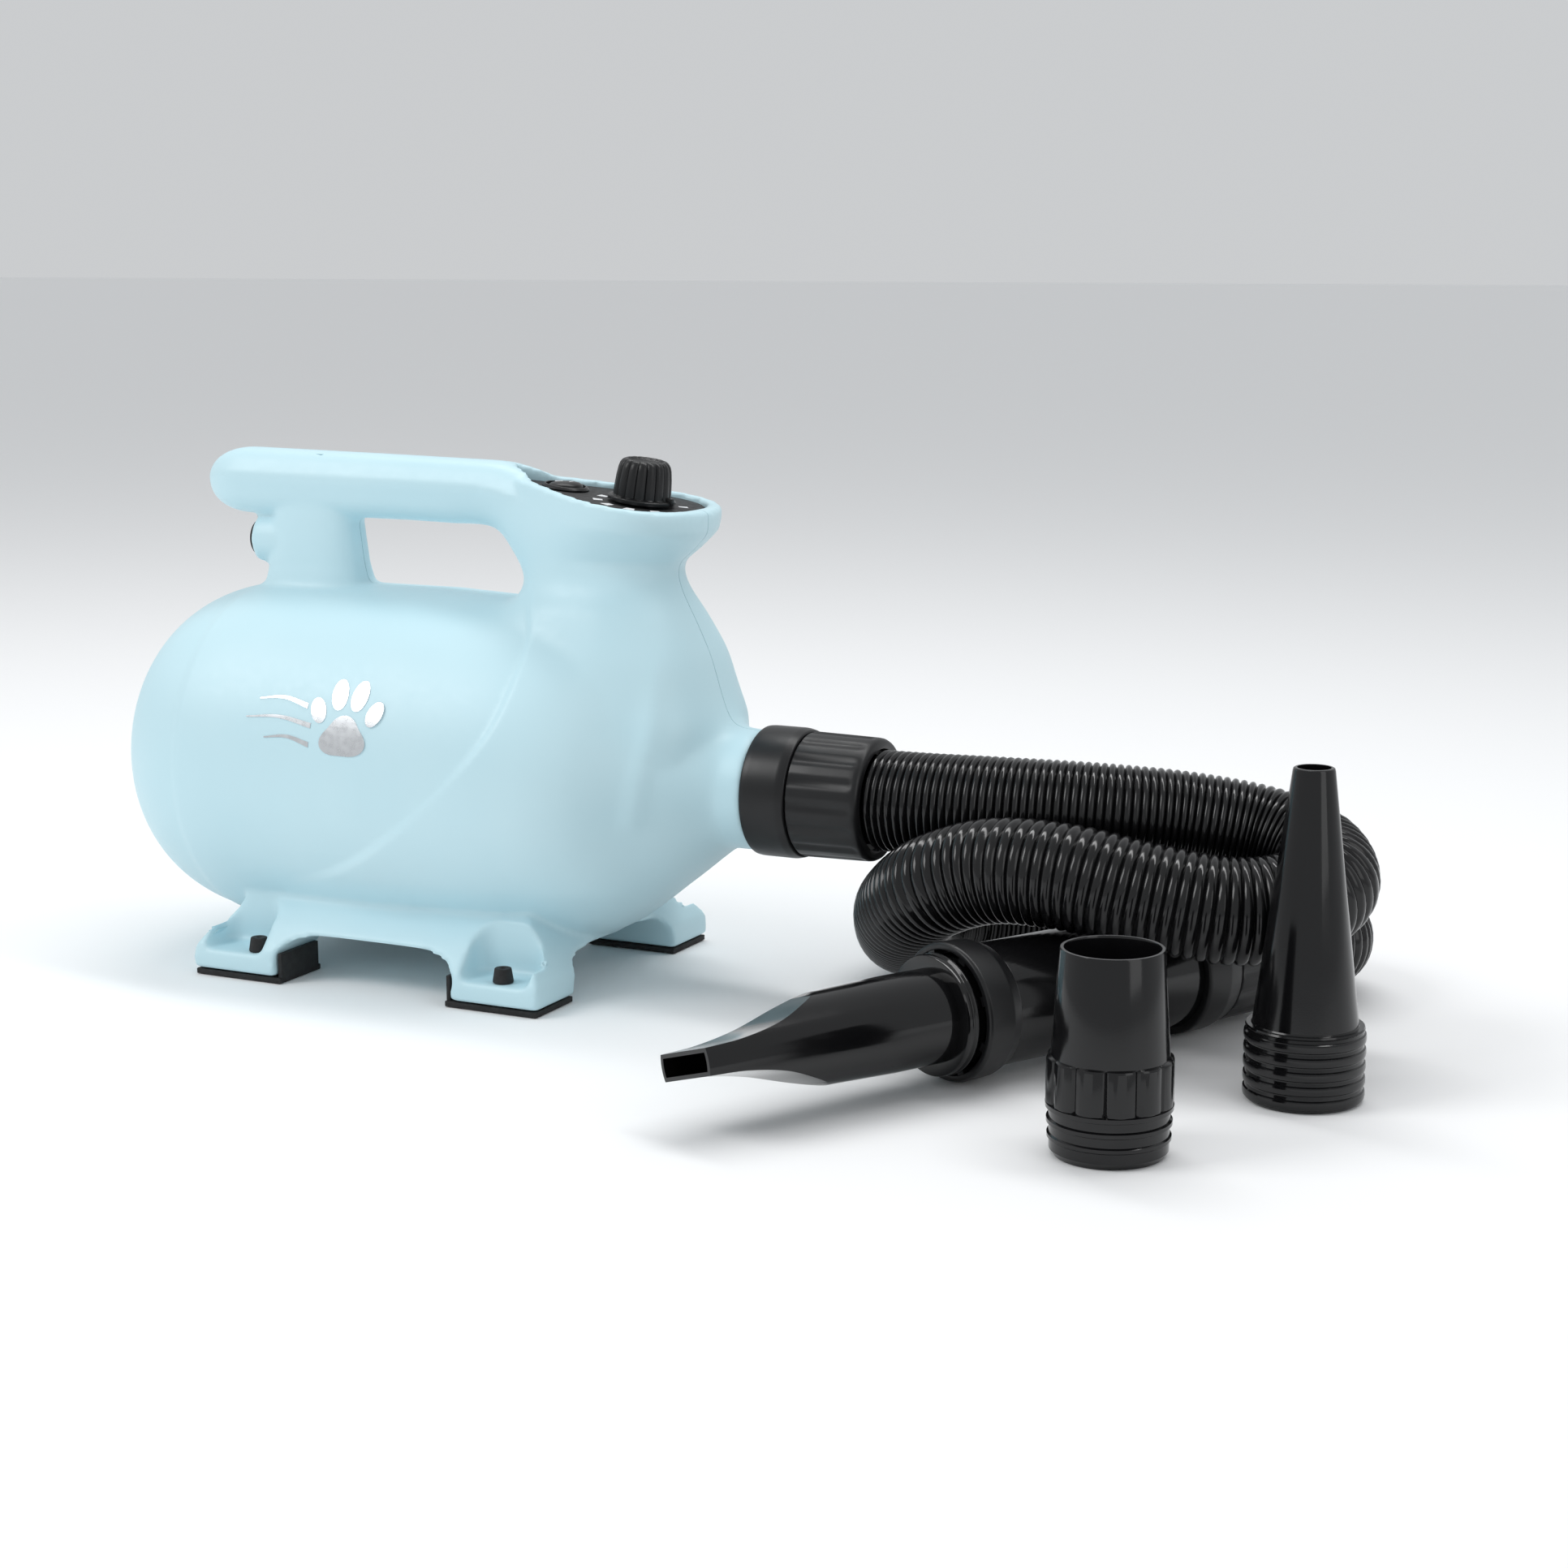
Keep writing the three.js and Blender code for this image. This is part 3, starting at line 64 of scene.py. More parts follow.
# Camera: a long lens, a little above the dryer and off its outlet end, and a pale floor under three
# soft lamps: a broad one over the near side, a strip behind and a fill on the outlet side.
camera_data = bpy.data.cameras.new("camera")
camera = bpy.data.objects.new("camera", camera_data)
bpy.context.scene.collection.objects.link(camera)
camera_data.lens = 64.73
camera_data.sensor_width = 36
camera_data.clip_end = 100
camera.location = at(766.5, -1198, 357)
camera.rotation_euler = (math.radians(79.3), 0, math.radians(25.8))
bpy.context.scene.camera = camera
bpy.context.scene.view_settings.view_transform = "Standard"


def plain(name, color, roughness):
    material = bpy.data.materials.new(name)
    material.use_nodes = True
    shader = material.node_tree.nodes["Principled BSDF"]
    shader.inputs["Base Color"].default_value = (*color, 1)
    shader.inputs["Roughness"].default_value = roughness
    return material


bpy.ops.mesh.primitive_plane_add(size=60, location=(0, 0, -0.0004))
floor = bpy.context.object
floor.name = "floor"
floor.data.materials.append(plain("floor_white", (0.93, 0.935, 0.94), 0.7))


def lamp(name, place, target, size, power):
    data = bpy.data.lights.new(name, "AREA")
    data.shape = "RECTANGLE"
    data.size, data.size_y = size
    data.energy = power
    lit = bpy.data.objects.new(name, data)
    bpy.context.scene.collection.objects.link(lit)
    lit.location = place
    lit.rotation_euler = (Vector(target) - Vector(place)).to_track_quat("-Z", "Y").to_euler()


lamp("key", (-1.5, -1.3, 1.9), (0, 0, 0.1), (1.2, 1.2), 23)
lamp("strip", (0.1, 0.5, 1.7), (0, 0, 0.1), (2.2, 0.28), 14)
lamp("fill", (1.9, -0.7, 0.9), (0.1, 0, 0.1), (0.9, 1.3), 4)
world = bpy.data.worlds.new("studio")
bpy.context.scene.world = world
world.use_nodes = True
world.node_tree.nodes["Background"].inputs["Color"].default_value = (0.96, 0.98, 1, 1)
world.node_tree.nodes["Background"].inputs["Strength"].default_value = 0.62


# Hose: a blow-moulded tube of round-topped rings in glossy black plastic. It leaves the outlet cuff
# level, folds back over the wand, drops behind it and comes round on the floor to the wand's end.
# It is swept along its route, with a ring of points for each step of the ribs.
HOSE_RADIUS = 24
HOSE_SIDES = 40
RIB_POINTS = 6
RIB_DEPTH = 1.9
RIB_PITCH = 3.6
END_GAP = 0.3
RIB_STRETCH = 1.6
STRETCH_MIDDLE = 330
STRETCH_REACH = 90
CUFF_END = 238.3
AXIS_HEIGHT = 102
WAND_START = Vector((312.4, -97.3, 31))
WAND_TURN = math.radians(62)
WAND_HOSE_END = 190.6
HOSE_ROUTE = [
    (262, 0, 102.3), (300, 3, 102.8), (345, 13, 101.8), (384, 28, 98), (416, 36, 92.5), (440, 30, 86),
    (450, 10, 79.5), (441, -12, 74), (419, -27, 72.5), (384, -37, 77.5), (346, -43, 84),
    (312, -44, 83.5), (283, -40, 73), (262, -22, 57.5), (249, 4, 44), (238, 34, 33.5),
    (231, 66, 26.5), (239, 101, 24.8), (266, 129, 24.8), (306, 145, 24.8), (350, 153, 24.8),
    (388, 151, 25), (414, 136, 26.5), (422, 112, 29),
]


def through(points, steps):
    """Points on the smooth line through the given ones, its knots spaced by their distance."""
    points = [Vector(p) for p in points]
    before = points[0] * 2 - points[1]
    after = points[-1] * 2 - points[-2]
    all_points = [before, *points, after]
    made = [points[0]]
    for i in range(1, len(all_points) - 2):
        p0, p1, p2, p3 = all_points[i - 1:i + 3]
        t1 = (p1 - p0).length ** 0.5
        t2 = t1 + (p2 - p1).length ** 0.5
        t3 = t2 + (p3 - p2).length ** 0.5
        for step in range(1, steps + 1):
            t = t1 + (t2 - t1) * step / steps
            a1 = p0 * ((t1 - t) / t1) + p1 * (t / t1)
            a2 = p1 * ((t2 - t) / (t2 - t1)) + p2 * ((t - t1) / (t2 - t1))
            a3 = p2 * ((t3 - t) / (t3 - t2)) + p3 * ((t - t2) / (t3 - t2))
            b1 = a1 * ((t2 - t) / t2) + a2 * (t / t2)
            b2 = a2 * ((t3 - t) / (t3 - t1)) + a3 * ((t - t1) / (t3 - t1))
            made.append(b1 * ((t2 - t) / (t2 - t1)) + b2 * ((t - t1) / (t2 - t1)))
    return made


wand = machine @ Matrix.Translation(WAND_START) @ Matrix.Rotation(WAND_TURN, 4, "Z")
wand_way = Vector((math.cos(WAND_TURN), math.sin(WAND_TURN), 0))
hose_end = WAND_START + wand_way * WAND_HOSE_END
route = through([(CUFF_END, 0, AXIS_HEIGHT), *HOSE_ROUTE, hose_end + wand_way * 14, hose_end], 24)
travel = [0]
for here, ahead in zip(route, route[1:]):
    travel.append(travel[-1] + (ahead - here).length)


def on_route(distance):
    """The point and the direction of the hose at a distance along it."""
    i = min(bisect_right(travel, distance), len(travel) - 1) - 1
    share = (distance - travel[i]) / max(travel[i + 1] - travel[i], 1e-9)
    ahead = min(i + 3, len(route) - 1)
    behind = max(i - 2, 0)
    return route[i].lerp(route[i + 1], share), (route[ahead] - route[behind]).normalized()


def closed_mesh(name, rings):
    """Skins equal rings of points one after another, and closes each end with one face."""
    mesh = bpy.data.meshes.new(name)
    count = len(rings[0])
    faces = []
    for k in range(len(rings) - 1):
        here, ahead = k * count, (k + 1) * count
        for i in range(count):
            j = (i + 1) % count
            faces.append((here + i, here + j, ahead + j, ahead + i))
    last = (len(rings) - 1) * count
    faces += [tuple(reversed(range(count))), tuple(range(last, last + count))]
    mesh.from_pydata([p for ring in rings for p in ring], [], faces)
    made = bpy.data.objects.new(name, mesh)
    bpy.context.scene.collection.objects.link(made)
    return made


def hose_rings():
    """A rib is a round top between two narrow valleys. Where the hose is stretched the ribs open up."""
    rings, distance, phase = [], END_GAP, 0
    up = Vector((0, 0, 1))
    total = travel[-1] - END_GAP
    while distance < total:
        point, way = on_route(distance)
        side = way.cross(up).normalized()
        up = side.cross(way).normalized()
        rib = abs(math.sin(math.pi * phase / RIB_POINTS)) ** 0.55
        radius = HOSE_RADIUS - RIB_DEPTH * (1 - rib)
        ring = []
        for i in range(HOSE_SIDES):
            angle = 2 * math.pi * i / HOSE_SIDES
            ring.append(at(*(point + radius * (side * math.cos(angle) + up * math.sin(angle)))))
        rings.append(ring)
        stretch = math.exp(-((distance - STRETCH_MIDDLE) / STRETCH_REACH) ** 2)
        distance += (RIB_PITCH + RIB_STRETCH * stretch) / RIB_POINTS
        phase += 1
    return rings


hose = closed_mesh("hose_tube", hose_rings())


def select_only(piece):
    bpy.ops.object.select_all(action="DESELECT")
    piece.select_set(True)
    bpy.context.view_layer.objects.active = piece


def smooth(piece, angle=35):
    select_only(piece)
    bpy.ops.object.shade_smooth_by_angle(angle=math.radians(angle))


DOUBLES = 0.00001


def tidy_mesh(piece):
    """Merges doubles and turns every face outwards."""
    select_only(piece)
    bpy.ops.object.mode_set(mode="EDIT")
    bpy.ops.mesh.select_all(action="SELECT")
    bpy.ops.mesh.remove_doubles(threshold=DOUBLES)
    bpy.ops.mesh.normals_make_consistent(inside=False)
    bpy.ops.object.mode_set(mode="OBJECT")


NOISE_SPAN = (0.3, 0.7)


class Finish:
    """A procedural material. Each step adds a noise of a scale, a detail and a stretch to its shader."""

    def __init__(self, name, color, roughness, metallic=0.0):
        self.material = bpy.data.materials.new(name)
        self.material.use_nodes = True
        self.nodes = self.material.node_tree.nodes
        self.links = self.material.node_tree.links
        self.shader = self.nodes["Principled BSDF"]
        self.shader.inputs["Base Color"].default_value = (*color, 1)
        self.shader.inputs["Roughness"].default_value = roughness
        self.shader.inputs["Metallic"].default_value = metallic
        self.place = self.nodes.new("ShaderNodeTexCoord").outputs["Object"]

    def noise(self, scale, detail=3.0, stretch=None):
        place = self.place
        if stretch:
            mapping = self.nodes.new("ShaderNodeMapping")
            mapping.inputs["Scale"].default_value = stretch
            self.links.new(self.place, mapping.inputs["Vector"])
            place = mapping.outputs["Vector"]
        texture = self.nodes.new("ShaderNodeTexNoise")
        texture.inputs["Scale"].default_value = scale
        texture.inputs["Detail"].default_value = detail
        self.links.new(place, texture.inputs["Vector"])
        return texture.outputs["Fac"]

    def colors(self, dark, light, *noise):
        source = self.noise(*noise)
        ramp = self.nodes.new("ShaderNodeValToRGB")
        for element, position, color in zip(ramp.color_ramp.elements, NOISE_SPAN, (dark, light)):
            element.position = position
            element.color = (*color, 1)
        self.links.new(source, ramp.inputs["Fac"])
        self.links.new(ramp.outputs["Color"], self.shader.inputs["Base Color"])
        return self

    def gloss(self, low, high, *noise):
        source = self.noise(*noise)
        span = self.nodes.new("ShaderNodeMapRange")
        span.inputs["From Min"].default_value = NOISE_SPAN[0]
        span.inputs["From Max"].default_value = NOISE_SPAN[1]
        span.inputs["To Min"].default_value = low
        span.inputs["To Max"].default_value = high
        self.links.new(source, span.inputs["Value"])
        self.links.new(span.outputs["Result"], self.shader.inputs["Roughness"])
        return self

    def grain(self, depth, strength, *noise):
        source = self.noise(*noise)
        bump = self.nodes.new("ShaderNodeBump")
        bump.inputs["Distance"].default_value = depth
        bump.inputs["Strength"].default_value = strength
        self.links.new(source, bump.inputs["Height"])
        self.links.new(bump.outputs["Normal"], self.shader.inputs["Normal"])
        return self

    def also(self, **values):
        for name, value in values.items():
            self.shader.inputs[name.replace("_", " ")].default_value = value
        return self


hose_black = Finish("hose_gloss_black", (0.004, 0.004, 0.0045), 0.16)
hose_black.also(Specular_IOR_Level=0.4).gloss(0.1, 0.19, 60).grain(0.00003, 0.5, 900)


def finished(piece, finish, body, slot, *nodes, angle=35):
    """Gives a piece its material and its body, and hides the CAD nodes that it stands for. Its slot is
    not used.
    """
    smooth(piece, angle)
    piece.data.materials.clear()
    piece.data.materials.append(finish.material)
    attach(piece, body)
    if nodes:
        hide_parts(*nodes)
    return piece


finished(hose, hose_black, "housing", "hose_black", "hose", angle=80)


# Outlet collar: a smooth satin collar that twists on to the neck, with a short spigot inside it.
# It is a turned profile, with a soft front edge and a thin lip against the cuff.
def select_none():
    if bpy.context.object and bpy.context.object.mode != "OBJECT":
        bpy.ops.object.mode_set(mode="OBJECT")
    bpy.ops.object.select_all(action="DESELECT")


def turned(name, profile, place, sides=96):
    """Turns a closed profile of (along, radius) points about the X axis of the given place."""
    select_none()
    bpy.ops.mesh.primitive_circle_add(vertices=len(profile), radius=1, fill_type="NOTHING")
    made = bpy.context.object
    made.name = name
    bpy.ops.object.mode_set(mode="EDIT")
    edit = bmesh.from_edit_mesh(made.data)
    edit.verts.ensure_lookup_table()
    for vertex, (along, radius) in zip(edit.verts, profile):
        vertex.co = (along, 0, radius)
    bmesh.update_edit_mesh(made.data)
    bpy.ops.mesh.select_all(action="SELECT")
    bpy.ops.mesh.spin(steps=sides, angle=2 * math.pi, center=(0, 0, 0), axis=(1, 0, 0))
    bpy.ops.object.mode_set(mode="OBJECT")
    made.data.transform(place)
    tidy_mesh(made)
    return made


def rounded_corners(points, radius, steps=4):
    """A closed profile with each corner cut back by radius and rounded."""
    made = []
    count = len(points)
    for i in range(count):
        before, corner, after = (Vector((*points[(i + k) % count][:2], 0)) for k in (-1, 0, 1))
        to_before, to_after = before - corner, after - corner
        reach = min(radius, to_before.length * 0.45, to_after.length * 0.45)
        a = corner + to_before.normalized() * reach
        b = corner + to_after.normalized() * reach
        if corner.y < 0.01:
            made.append((corner.x, corner.y))
            continue
        for step in range(steps + 1):
            t = step / steps
            p = a * (1 - t) ** 2 + corner * 2 * t * (1 - t) + b * t ** 2
            made.append((p.x, p.y))
    return made


air_axis = machine @ Matrix.Translation((0, 0, AXIS_HEIGHT))
satin_black = Finish("satin_black", (0.007, 0.0072, 0.008), 0.36)
satin_black.also(Specular_IOR_Level=0.36).gloss(0.3, 0.42, 45).grain(0.00002, 0.6, 2600, 2)
COLLAR_START = 178.3
COLLAR_END = 201.3
COLLAR_RADIUS = 31.5
collar_profile = [
    (COLLAR_START - 18, 24.2), (COLLAR_START - 18, 26.1), (COLLAR_START, 26.1),
    (COLLAR_START, COLLAR_RADIUS - 0.3), (COLLAR_START + 3, COLLAR_RADIUS),
    (COLLAR_END - 4, COLLAR_RADIUS), (COLLAR_END, COLLAR_RADIUS - 0.9), (COLLAR_END, 24.2),
]
outlet_collar = turned("outlet_twist_collar", rounded_corners(collar_profile, 0.9), air_axis)
finished(outlet_collar, satin_black, "outlet_lock", "satin_black", "outlet_collar")


# Hose cuffs: fluted grips of satin black plastic moulded over the hose, one at each end. Each is a
# ring of shallow flutes that fade into a rounded lip, with a short plug at its front.
def stacked(name, rings, place=machine):
    """Extrudes a filled ring from each section to the next. A number on each point keeps their order."""
    select_none()
    bpy.ops.mesh.primitive_circle_add(vertices=len(rings[0]), radius=1, fill_type="NGON")
    made = bpy.context.object
    made.name = name
    bpy.ops.object.mode_set(mode="EDIT")
    edit = bmesh.from_edit_mesh(made.data)
    order = edit.verts.layers.int.new("order")
    edit.verts.ensure_lookup_table()
    for i, vertex in enumerate(edit.verts):
        vertex[order] = i
        vertex.co = rings[0][i]
    for ring in rings[1:]:
        bpy.ops.mesh.extrude_region_move(TRANSFORM_OT_translate={"value": (0, 0, 0)})
        for vertex in edit.verts:
            if vertex.select:
                vertex.co = ring[vertex[order]]
    bmesh.update_edit_mesh(made.data)
    bpy.ops.object.mode_set(mode="OBJECT")
    made.data.attributes.remove(made.data.attributes["order"])
    made.data.transform(place)
    tidy_mesh(made)
    return made


def cut(piece, tool, how="DIFFERENCE"):
    """Joins or cuts with a second solid, which is then removed."""
    select_only(piece)
    step = piece.modifiers.new("cut", "BOOLEAN")
    step.operation = how
    step.solver = "EXACT"
    step.object = tool
    bpy.ops.object.modifier_apply(modifier="cut")
    bpy.data.objects.remove(tool)
    return piece


def rod(name, low, high, radius, place, sides=96, inner=0):
    """A round bar or ring along the X axis of the given place, to join or cut with."""
    return turned(name, [(low, inner), (low, radius), (high, radius), (high, inner)], place, sides)


def fluted(along, count, radius_at):
    """Ring of points round the X axis, with a radius for each angle."""
    angles = [2 * math.pi * i / count for i in range(count)]
    return [(along, radius_at(a) * math.cos(a), radius_at(a) * math.sin(a)) for a in angles]


CUFF_FLUTES = 16
CUFF_LENGTH = 36.7
FLUTE_DEPTH = 1.05
HOSE_BORE = 21.4


def cuff(name, start, radius, plug, place):
    end = start + CUFF_LENGTH
    rings = []
    rows = [
        # place, inset, depth of the flutes
        (start, 0.8, 0), (start + 0.7, 0.15, 0.2), (start + 2, 0, 1), (end - 6, 0.5, 1),
        (end - 3.6, 0.55, 0.2), (end - 2, 0.75, 0), (end - 0.7, 1.4, 0), (end, 2.6, 0),
    ]
    for along, inset, depth in rows:
        rings.append(fluted(along, CUFF_FLUTES * 8, lambda angle: (
            radius - inset - FLUTE_DEPTH * depth * max(0.0, math.cos(CUFF_FLUTES * angle)) ** 0.8
        )))
    grip = stacked(name, rings, place)
    cut(grip, rod("plug", start - 8, start + 1, plug, place), "UNION")
    bore = [
        (start - 9, 0), (start - 9, HOSE_BORE), (end - 5, HOSE_BORE), (end - 4, HOSE_RADIUS + 0.2),
        (end + 1, HOSE_RADIUS + 0.6), (end + 1, 0),
    ]
    return cut(grip, turned("bore", bore, place))


OUTLET_CUFF_START = 201.6
outlet_cuff = cuff("outlet_hose_cuff", OUTLET_CUFF_START, 30, 23.6, air_axis)
finished(outlet_cuff, satin_black, "housing", "satin_black", "hose_cuff")
END_CUFF_START = 153.6
end_cuff = cuff("wand_hose_cuff", END_CUFF_START, 28.6, 25, wand)
finished(end_cuff, satin_black, "housing", "satin_black", "end_cuff")


# Wand: a glossy tube between two satin collars. The front collar is the socket that a nozzle pushes
# into, with a thin rim and eight small lugs inside it, and the rear one takes the hose's cuff.
gloss_black = Finish("gloss_black", (0.004, 0.004, 0.0045), 0.18)
gloss_black.also(Specular_IOR_Level=0.42).gloss(0.08, 0.17, 35).grain(0.00002, 0.45, 1400, 2)
SOCKET = 25.3
TUBE_START = 20.3
TUBE_END = 130
TUBE_RADIUS = 27.5
TUBE_PLUG = 25
REAR_START = 130.3
REAR_END = REAR_START + 23
LUGS = 8
front_profile = [
    (0, SOCKET + 2.4), (0, 30.2), (1.4, 31), (14, 30.6), (20, 28.4), (20, SOCKET),
    (6, SOCKET), (6, SOCKET + 2.4),
]
front_collar = turned("wand_front_collar", rounded_corners(front_profile, 0.6), wand)
for i in range(LUGS):
    angle = 2 * math.pi * (i + 0.5) / LUGS
    lug_place = wand @ Matrix.Rotation(angle, 4, "X")
    select_none()
    bpy.ops.mesh.primitive_cube_add(size=1)
    lug = bpy.context.object
    lug.data.transform(Matrix.Translation((3.4, 0, 26.9)) @ Matrix.Diagonal((6, 4.2, 2.6, 1)))
    lug.data.transform(lug_place)
    cut(front_collar, lug, "UNION")
finished(front_collar, satin_black, "wand", "satin_black", "wand_collar_front")
tube_profile = [
    (TUBE_START - 8, HOSE_BORE), (TUBE_START - 8, TUBE_PLUG), (TUBE_START, TUBE_PLUG),
    (TUBE_START, TUBE_RADIUS), (TUBE_END, TUBE_RADIUS), (TUBE_END, TUBE_PLUG),
    (TUBE_END + 8, TUBE_PLUG), (TUBE_END + 8, HOSE_BORE),
]
wand_tube = turned("wand_main_tube", rounded_corners(tube_profile, 0.5), wand)
finished(wand_tube, gloss_black, "wand", "gloss_black", "wand_tube")
rear_profile = [
    (REAR_START, SOCKET), (REAR_START, 30.6), (REAR_START + 1.5, 31), (REAR_START + 14, 30.7),
    (REAR_END, 28.4), (REAR_END, SOCKET),
]
rear_collar = turned("wand_rear_collar", rounded_corners(rear_profile, 0.8), wand)
finished(rear_collar, satin_black, "wand", "satin_black", "wand_collar_rear")


# Flat nozzle: a moulded tube pinched to a slot. Two long curved faces are cut into a round cone, so
# each face meets the cone in a sharp curved edge. It lies pushed into the wand, rolled a little.
NOZZLE_TIP = -137
NOZZLE_SHOULDER = -67
MOUTH_HALF = 5.75
NOZZLE_WALL = 1.8
NOZZLE_ROLL = -18
nozzle_place = wand @ Matrix.Rotation(math.radians(NOZZLE_ROLL), 4, "X")


def prism(name, outline, low, high, place):
    """Raises a closed outline in X and Z from low to high along Y."""
    return stacked(name, [[(x, y, z) for x, z in outline] for y in (low, high)], place)


def pinched(name, grow, front, back):
    """The nozzle's form, grown or shrunk all over."""
    cone = [
        (front, 0), (front, 18 + grow), (NOZZLE_SHOULDER, 20 + grow), (-34, 21 + grow),
        (back, 21 + grow), (back, 0),
    ]
    blank = turned(name, cone, nozzle_place, 128)
    upper = through(
        [
            (front, MOUTH_HALF + grow, 0), (NOZZLE_TIP + 18, MOUTH_HALF + 0.9 + grow, 0),
            (NOZZLE_TIP + 38, MOUTH_HALF + 4.3 + grow, 0), (NOZZLE_TIP + 56, 16 + grow, 0),
            (NOZZLE_SHOULDER + 2, 21.5 + grow, 0),
        ],
        8,
    )
    edge = [(p.x, p.y) for p in upper] + [(back + 2, 30)]
    outline = edge + [(x, -z) for x, z in reversed(edge)]
    return cut(blank, prism("pinch", outline, -40, 40, nozzle_place), "INTERSECT")


flat_nozzle = pinched("flat_slot_nozzle", 0, NOZZLE_TIP, -5)
seat_profile = [
    (-9, 0), (-9, 26.6), (-6.6, 27), (-6, 25.9), (-4.8, 25.9), (-4.2, 27), (-3, 27), (-3, 24.9),
    (10, 24.9), (10, 0),
]
cut(flat_nozzle, turned("seat", rounded_corners(seat_profile, 0.3, 2), nozzle_place), "UNION")
cut(flat_nozzle, pinched("hollow", -NOZZLE_WALL, NOZZLE_TIP - 1, 20))
finished(flat_nozzle, gloss_black, "flat_nozzle", "gloss_black", "flat_nozzle", angle=25)


# Loose nozzles, standing on the floor. The wide one has a ringed spigot, a band of finger lobes that
# end in small crescents, and an open tapering tube. The narrow one is a long cone on a ribbed sleeve.
x_to_up = Matrix.Rotation(-math.pi / 2, 4, "Y")


def upright(x, y):
    return machine @ Matrix.Translation((x, y, 0)) @ x_to_up


WIDE_HEIGHT = 85
wide_place = upright(410, -160)
wide_profile = [
    (0, 21.2), (0, 22.6), (1, 23.2), (2.4, 24.2), (6.6, 24.3), (7.2, 25.1), (8.6, 25.1), (9.2, 24.3),
    (12.8, 24.3), (13.4, 25.4), (15, 25.4), (15.6, 24.4), (19, 24.5), (19.6, 25.8), (21.4, 25.9),
    (22, 24.2), (40, 24), (42, 23.9), (WIDE_HEIGHT - 0.8, 21.2), (WIDE_HEIGHT, 20.8),
    (WIDE_HEIGHT, 19.6), (WIDE_HEIGHT - 1, 19.3), (42, 22.2),
]
wide_nozzle = turned("wide_round_nozzle", wide_profile, wide_place)
LOBES = 12
LOBE_ROWS = [
    # height, radius over a lobe, radius between two
    (20.8, 25.2, 24.1), (22, 26, 24.3), (39.6, 25.9, 24.2), (40.4, 25.5, 24), (41, 23.7, 23.6),
]
lobe_rings = []
for height, swell, waist in LOBE_ROWS:
    lobe_rings.append(fluted(height, LOBES * 12, lambda angle: (
        waist + (swell - waist) * abs(math.cos(LOBES / 2 * angle)) ** 0.45
    )))
band = stacked("band", lobe_rings, wide_place)
cut(band, turned("band_bore", [(18, 0), (18, 22.9), (46, 22.6), (46, 0)], wide_place))
cut(wide_nozzle, band, "UNION")
finished(wide_nozzle, gloss_black, "wide_nozzle", "gloss_black", "wide_nozzle", angle=25)

CONE_HEIGHT = 144
cone_profile = [(0, 22), (0, 24.2), (0.8, 25)]
SLEEVE_RIBS = 5
SLEEVE_PITCH = 6.2
for i in range(SLEEVE_RIBS):
    base = 1.2 + SLEEVE_PITCH * i
    cone_profile += [
        (base, 25.1), (base + 0.5, 25.8), (base + 1.4, 26), (base + 2.9, 26), (base + 3.8, 25.8),
        (base + 4.3, 25.1), (base + 5.6, 24.9),
    ]
cone_profile += [
    (32.2, 25.4), (33, 25), (33, 23), (33.6, 22.6), (CONE_HEIGHT - 1.2, 9), (CONE_HEIGHT - 0.3, 8.7),
    (CONE_HEIGHT, 8.1), (CONE_HEIGHT, 7.2), (CONE_HEIGHT - 2, 7), (33, 20.9),
]
cone_nozzle = turned("cone_long_nozzle", cone_profile, upright(460, -52))
finished(cone_nozzle, gloss_black, "cone_nozzle", "gloss_black", "cone_nozzle", angle=25)


# Housing: two moulded halves in satin light blue plastic that meet at the middle plane. The outer
# form is put together from a turned body, a grip, a post, a flared head and a base with four feet,
# then fused, eased at its joints, creased, thinned, opened, split and given its wall.
BODY_RADIUS = 88.5
REAR = -172
DOME_START = -80
DOME_POWER = 2.6
NECK_RADIUS = 29.3
NECK_START = 164
WALL = 2.5
BODY_TOP = AXIS_HEIGHT + BODY_RADIUS
GRIP_UNDER = BODY_TOP + 33.5
GRIP_TOP = GRIP_UNDER + 34
RIM_HEIGHT = GRIP_TOP - 8.5
RIM_REAR = 40.8
RIM_SLOPE = 0.1413
HEAD_FRONT = 147.4
HEAD_HALF = 42.5
PANEL_FRONT = 139.5
PANEL_HALF = 38
PANEL_PULL = 0.75
PANEL_DEPTH = 5.3
PANEL_TOP = -2.5

DOME_POINTS = 30
SHOULDER = [(0, 0), (0.43, 0.076), (0.61, 0.211), (0.823, 0.633), (0.976, 0.965), (1, 1)]
body_profile = [(REAR, 0)]
for i in range(1, DOME_POINTS + 1):
    turn = i / DOME_POINTS * math.pi / 2
    back = DOME_START - math.cos(turn) ** (2 / DOME_POWER) * (DOME_START - REAR)
    body_profile.append((back, BODY_RADIUS * math.sin(turn) ** (2 / DOME_POWER)))
fall = BODY_RADIUS - NECK_RADIUS
neck_line = through([(a * NECK_START, BODY_RADIUS - d * fall, 0) for a, d in SHOULDER], 8)
body_profile += [(p.x, p.y) for p in neck_line]
body_profile += [(NECK_END, NECK_RADIUS), (NECK_END, 0)]
housing = turned("housing", body_profile, air_axis, 160)


def soft_ring(power, count):
    """Corner-rounded ring of points: 2 is an ellipse, and higher powers are squarer."""
    made = []
    for i in range(count):
        c, s = math.cos(2 * math.pi * i / count), math.sin(2 * math.pi * i / count)
        made.append((math.copysign(abs(c) ** (2 / power), c), math.copysign(abs(s) ** (2 / power), s)))
    return made


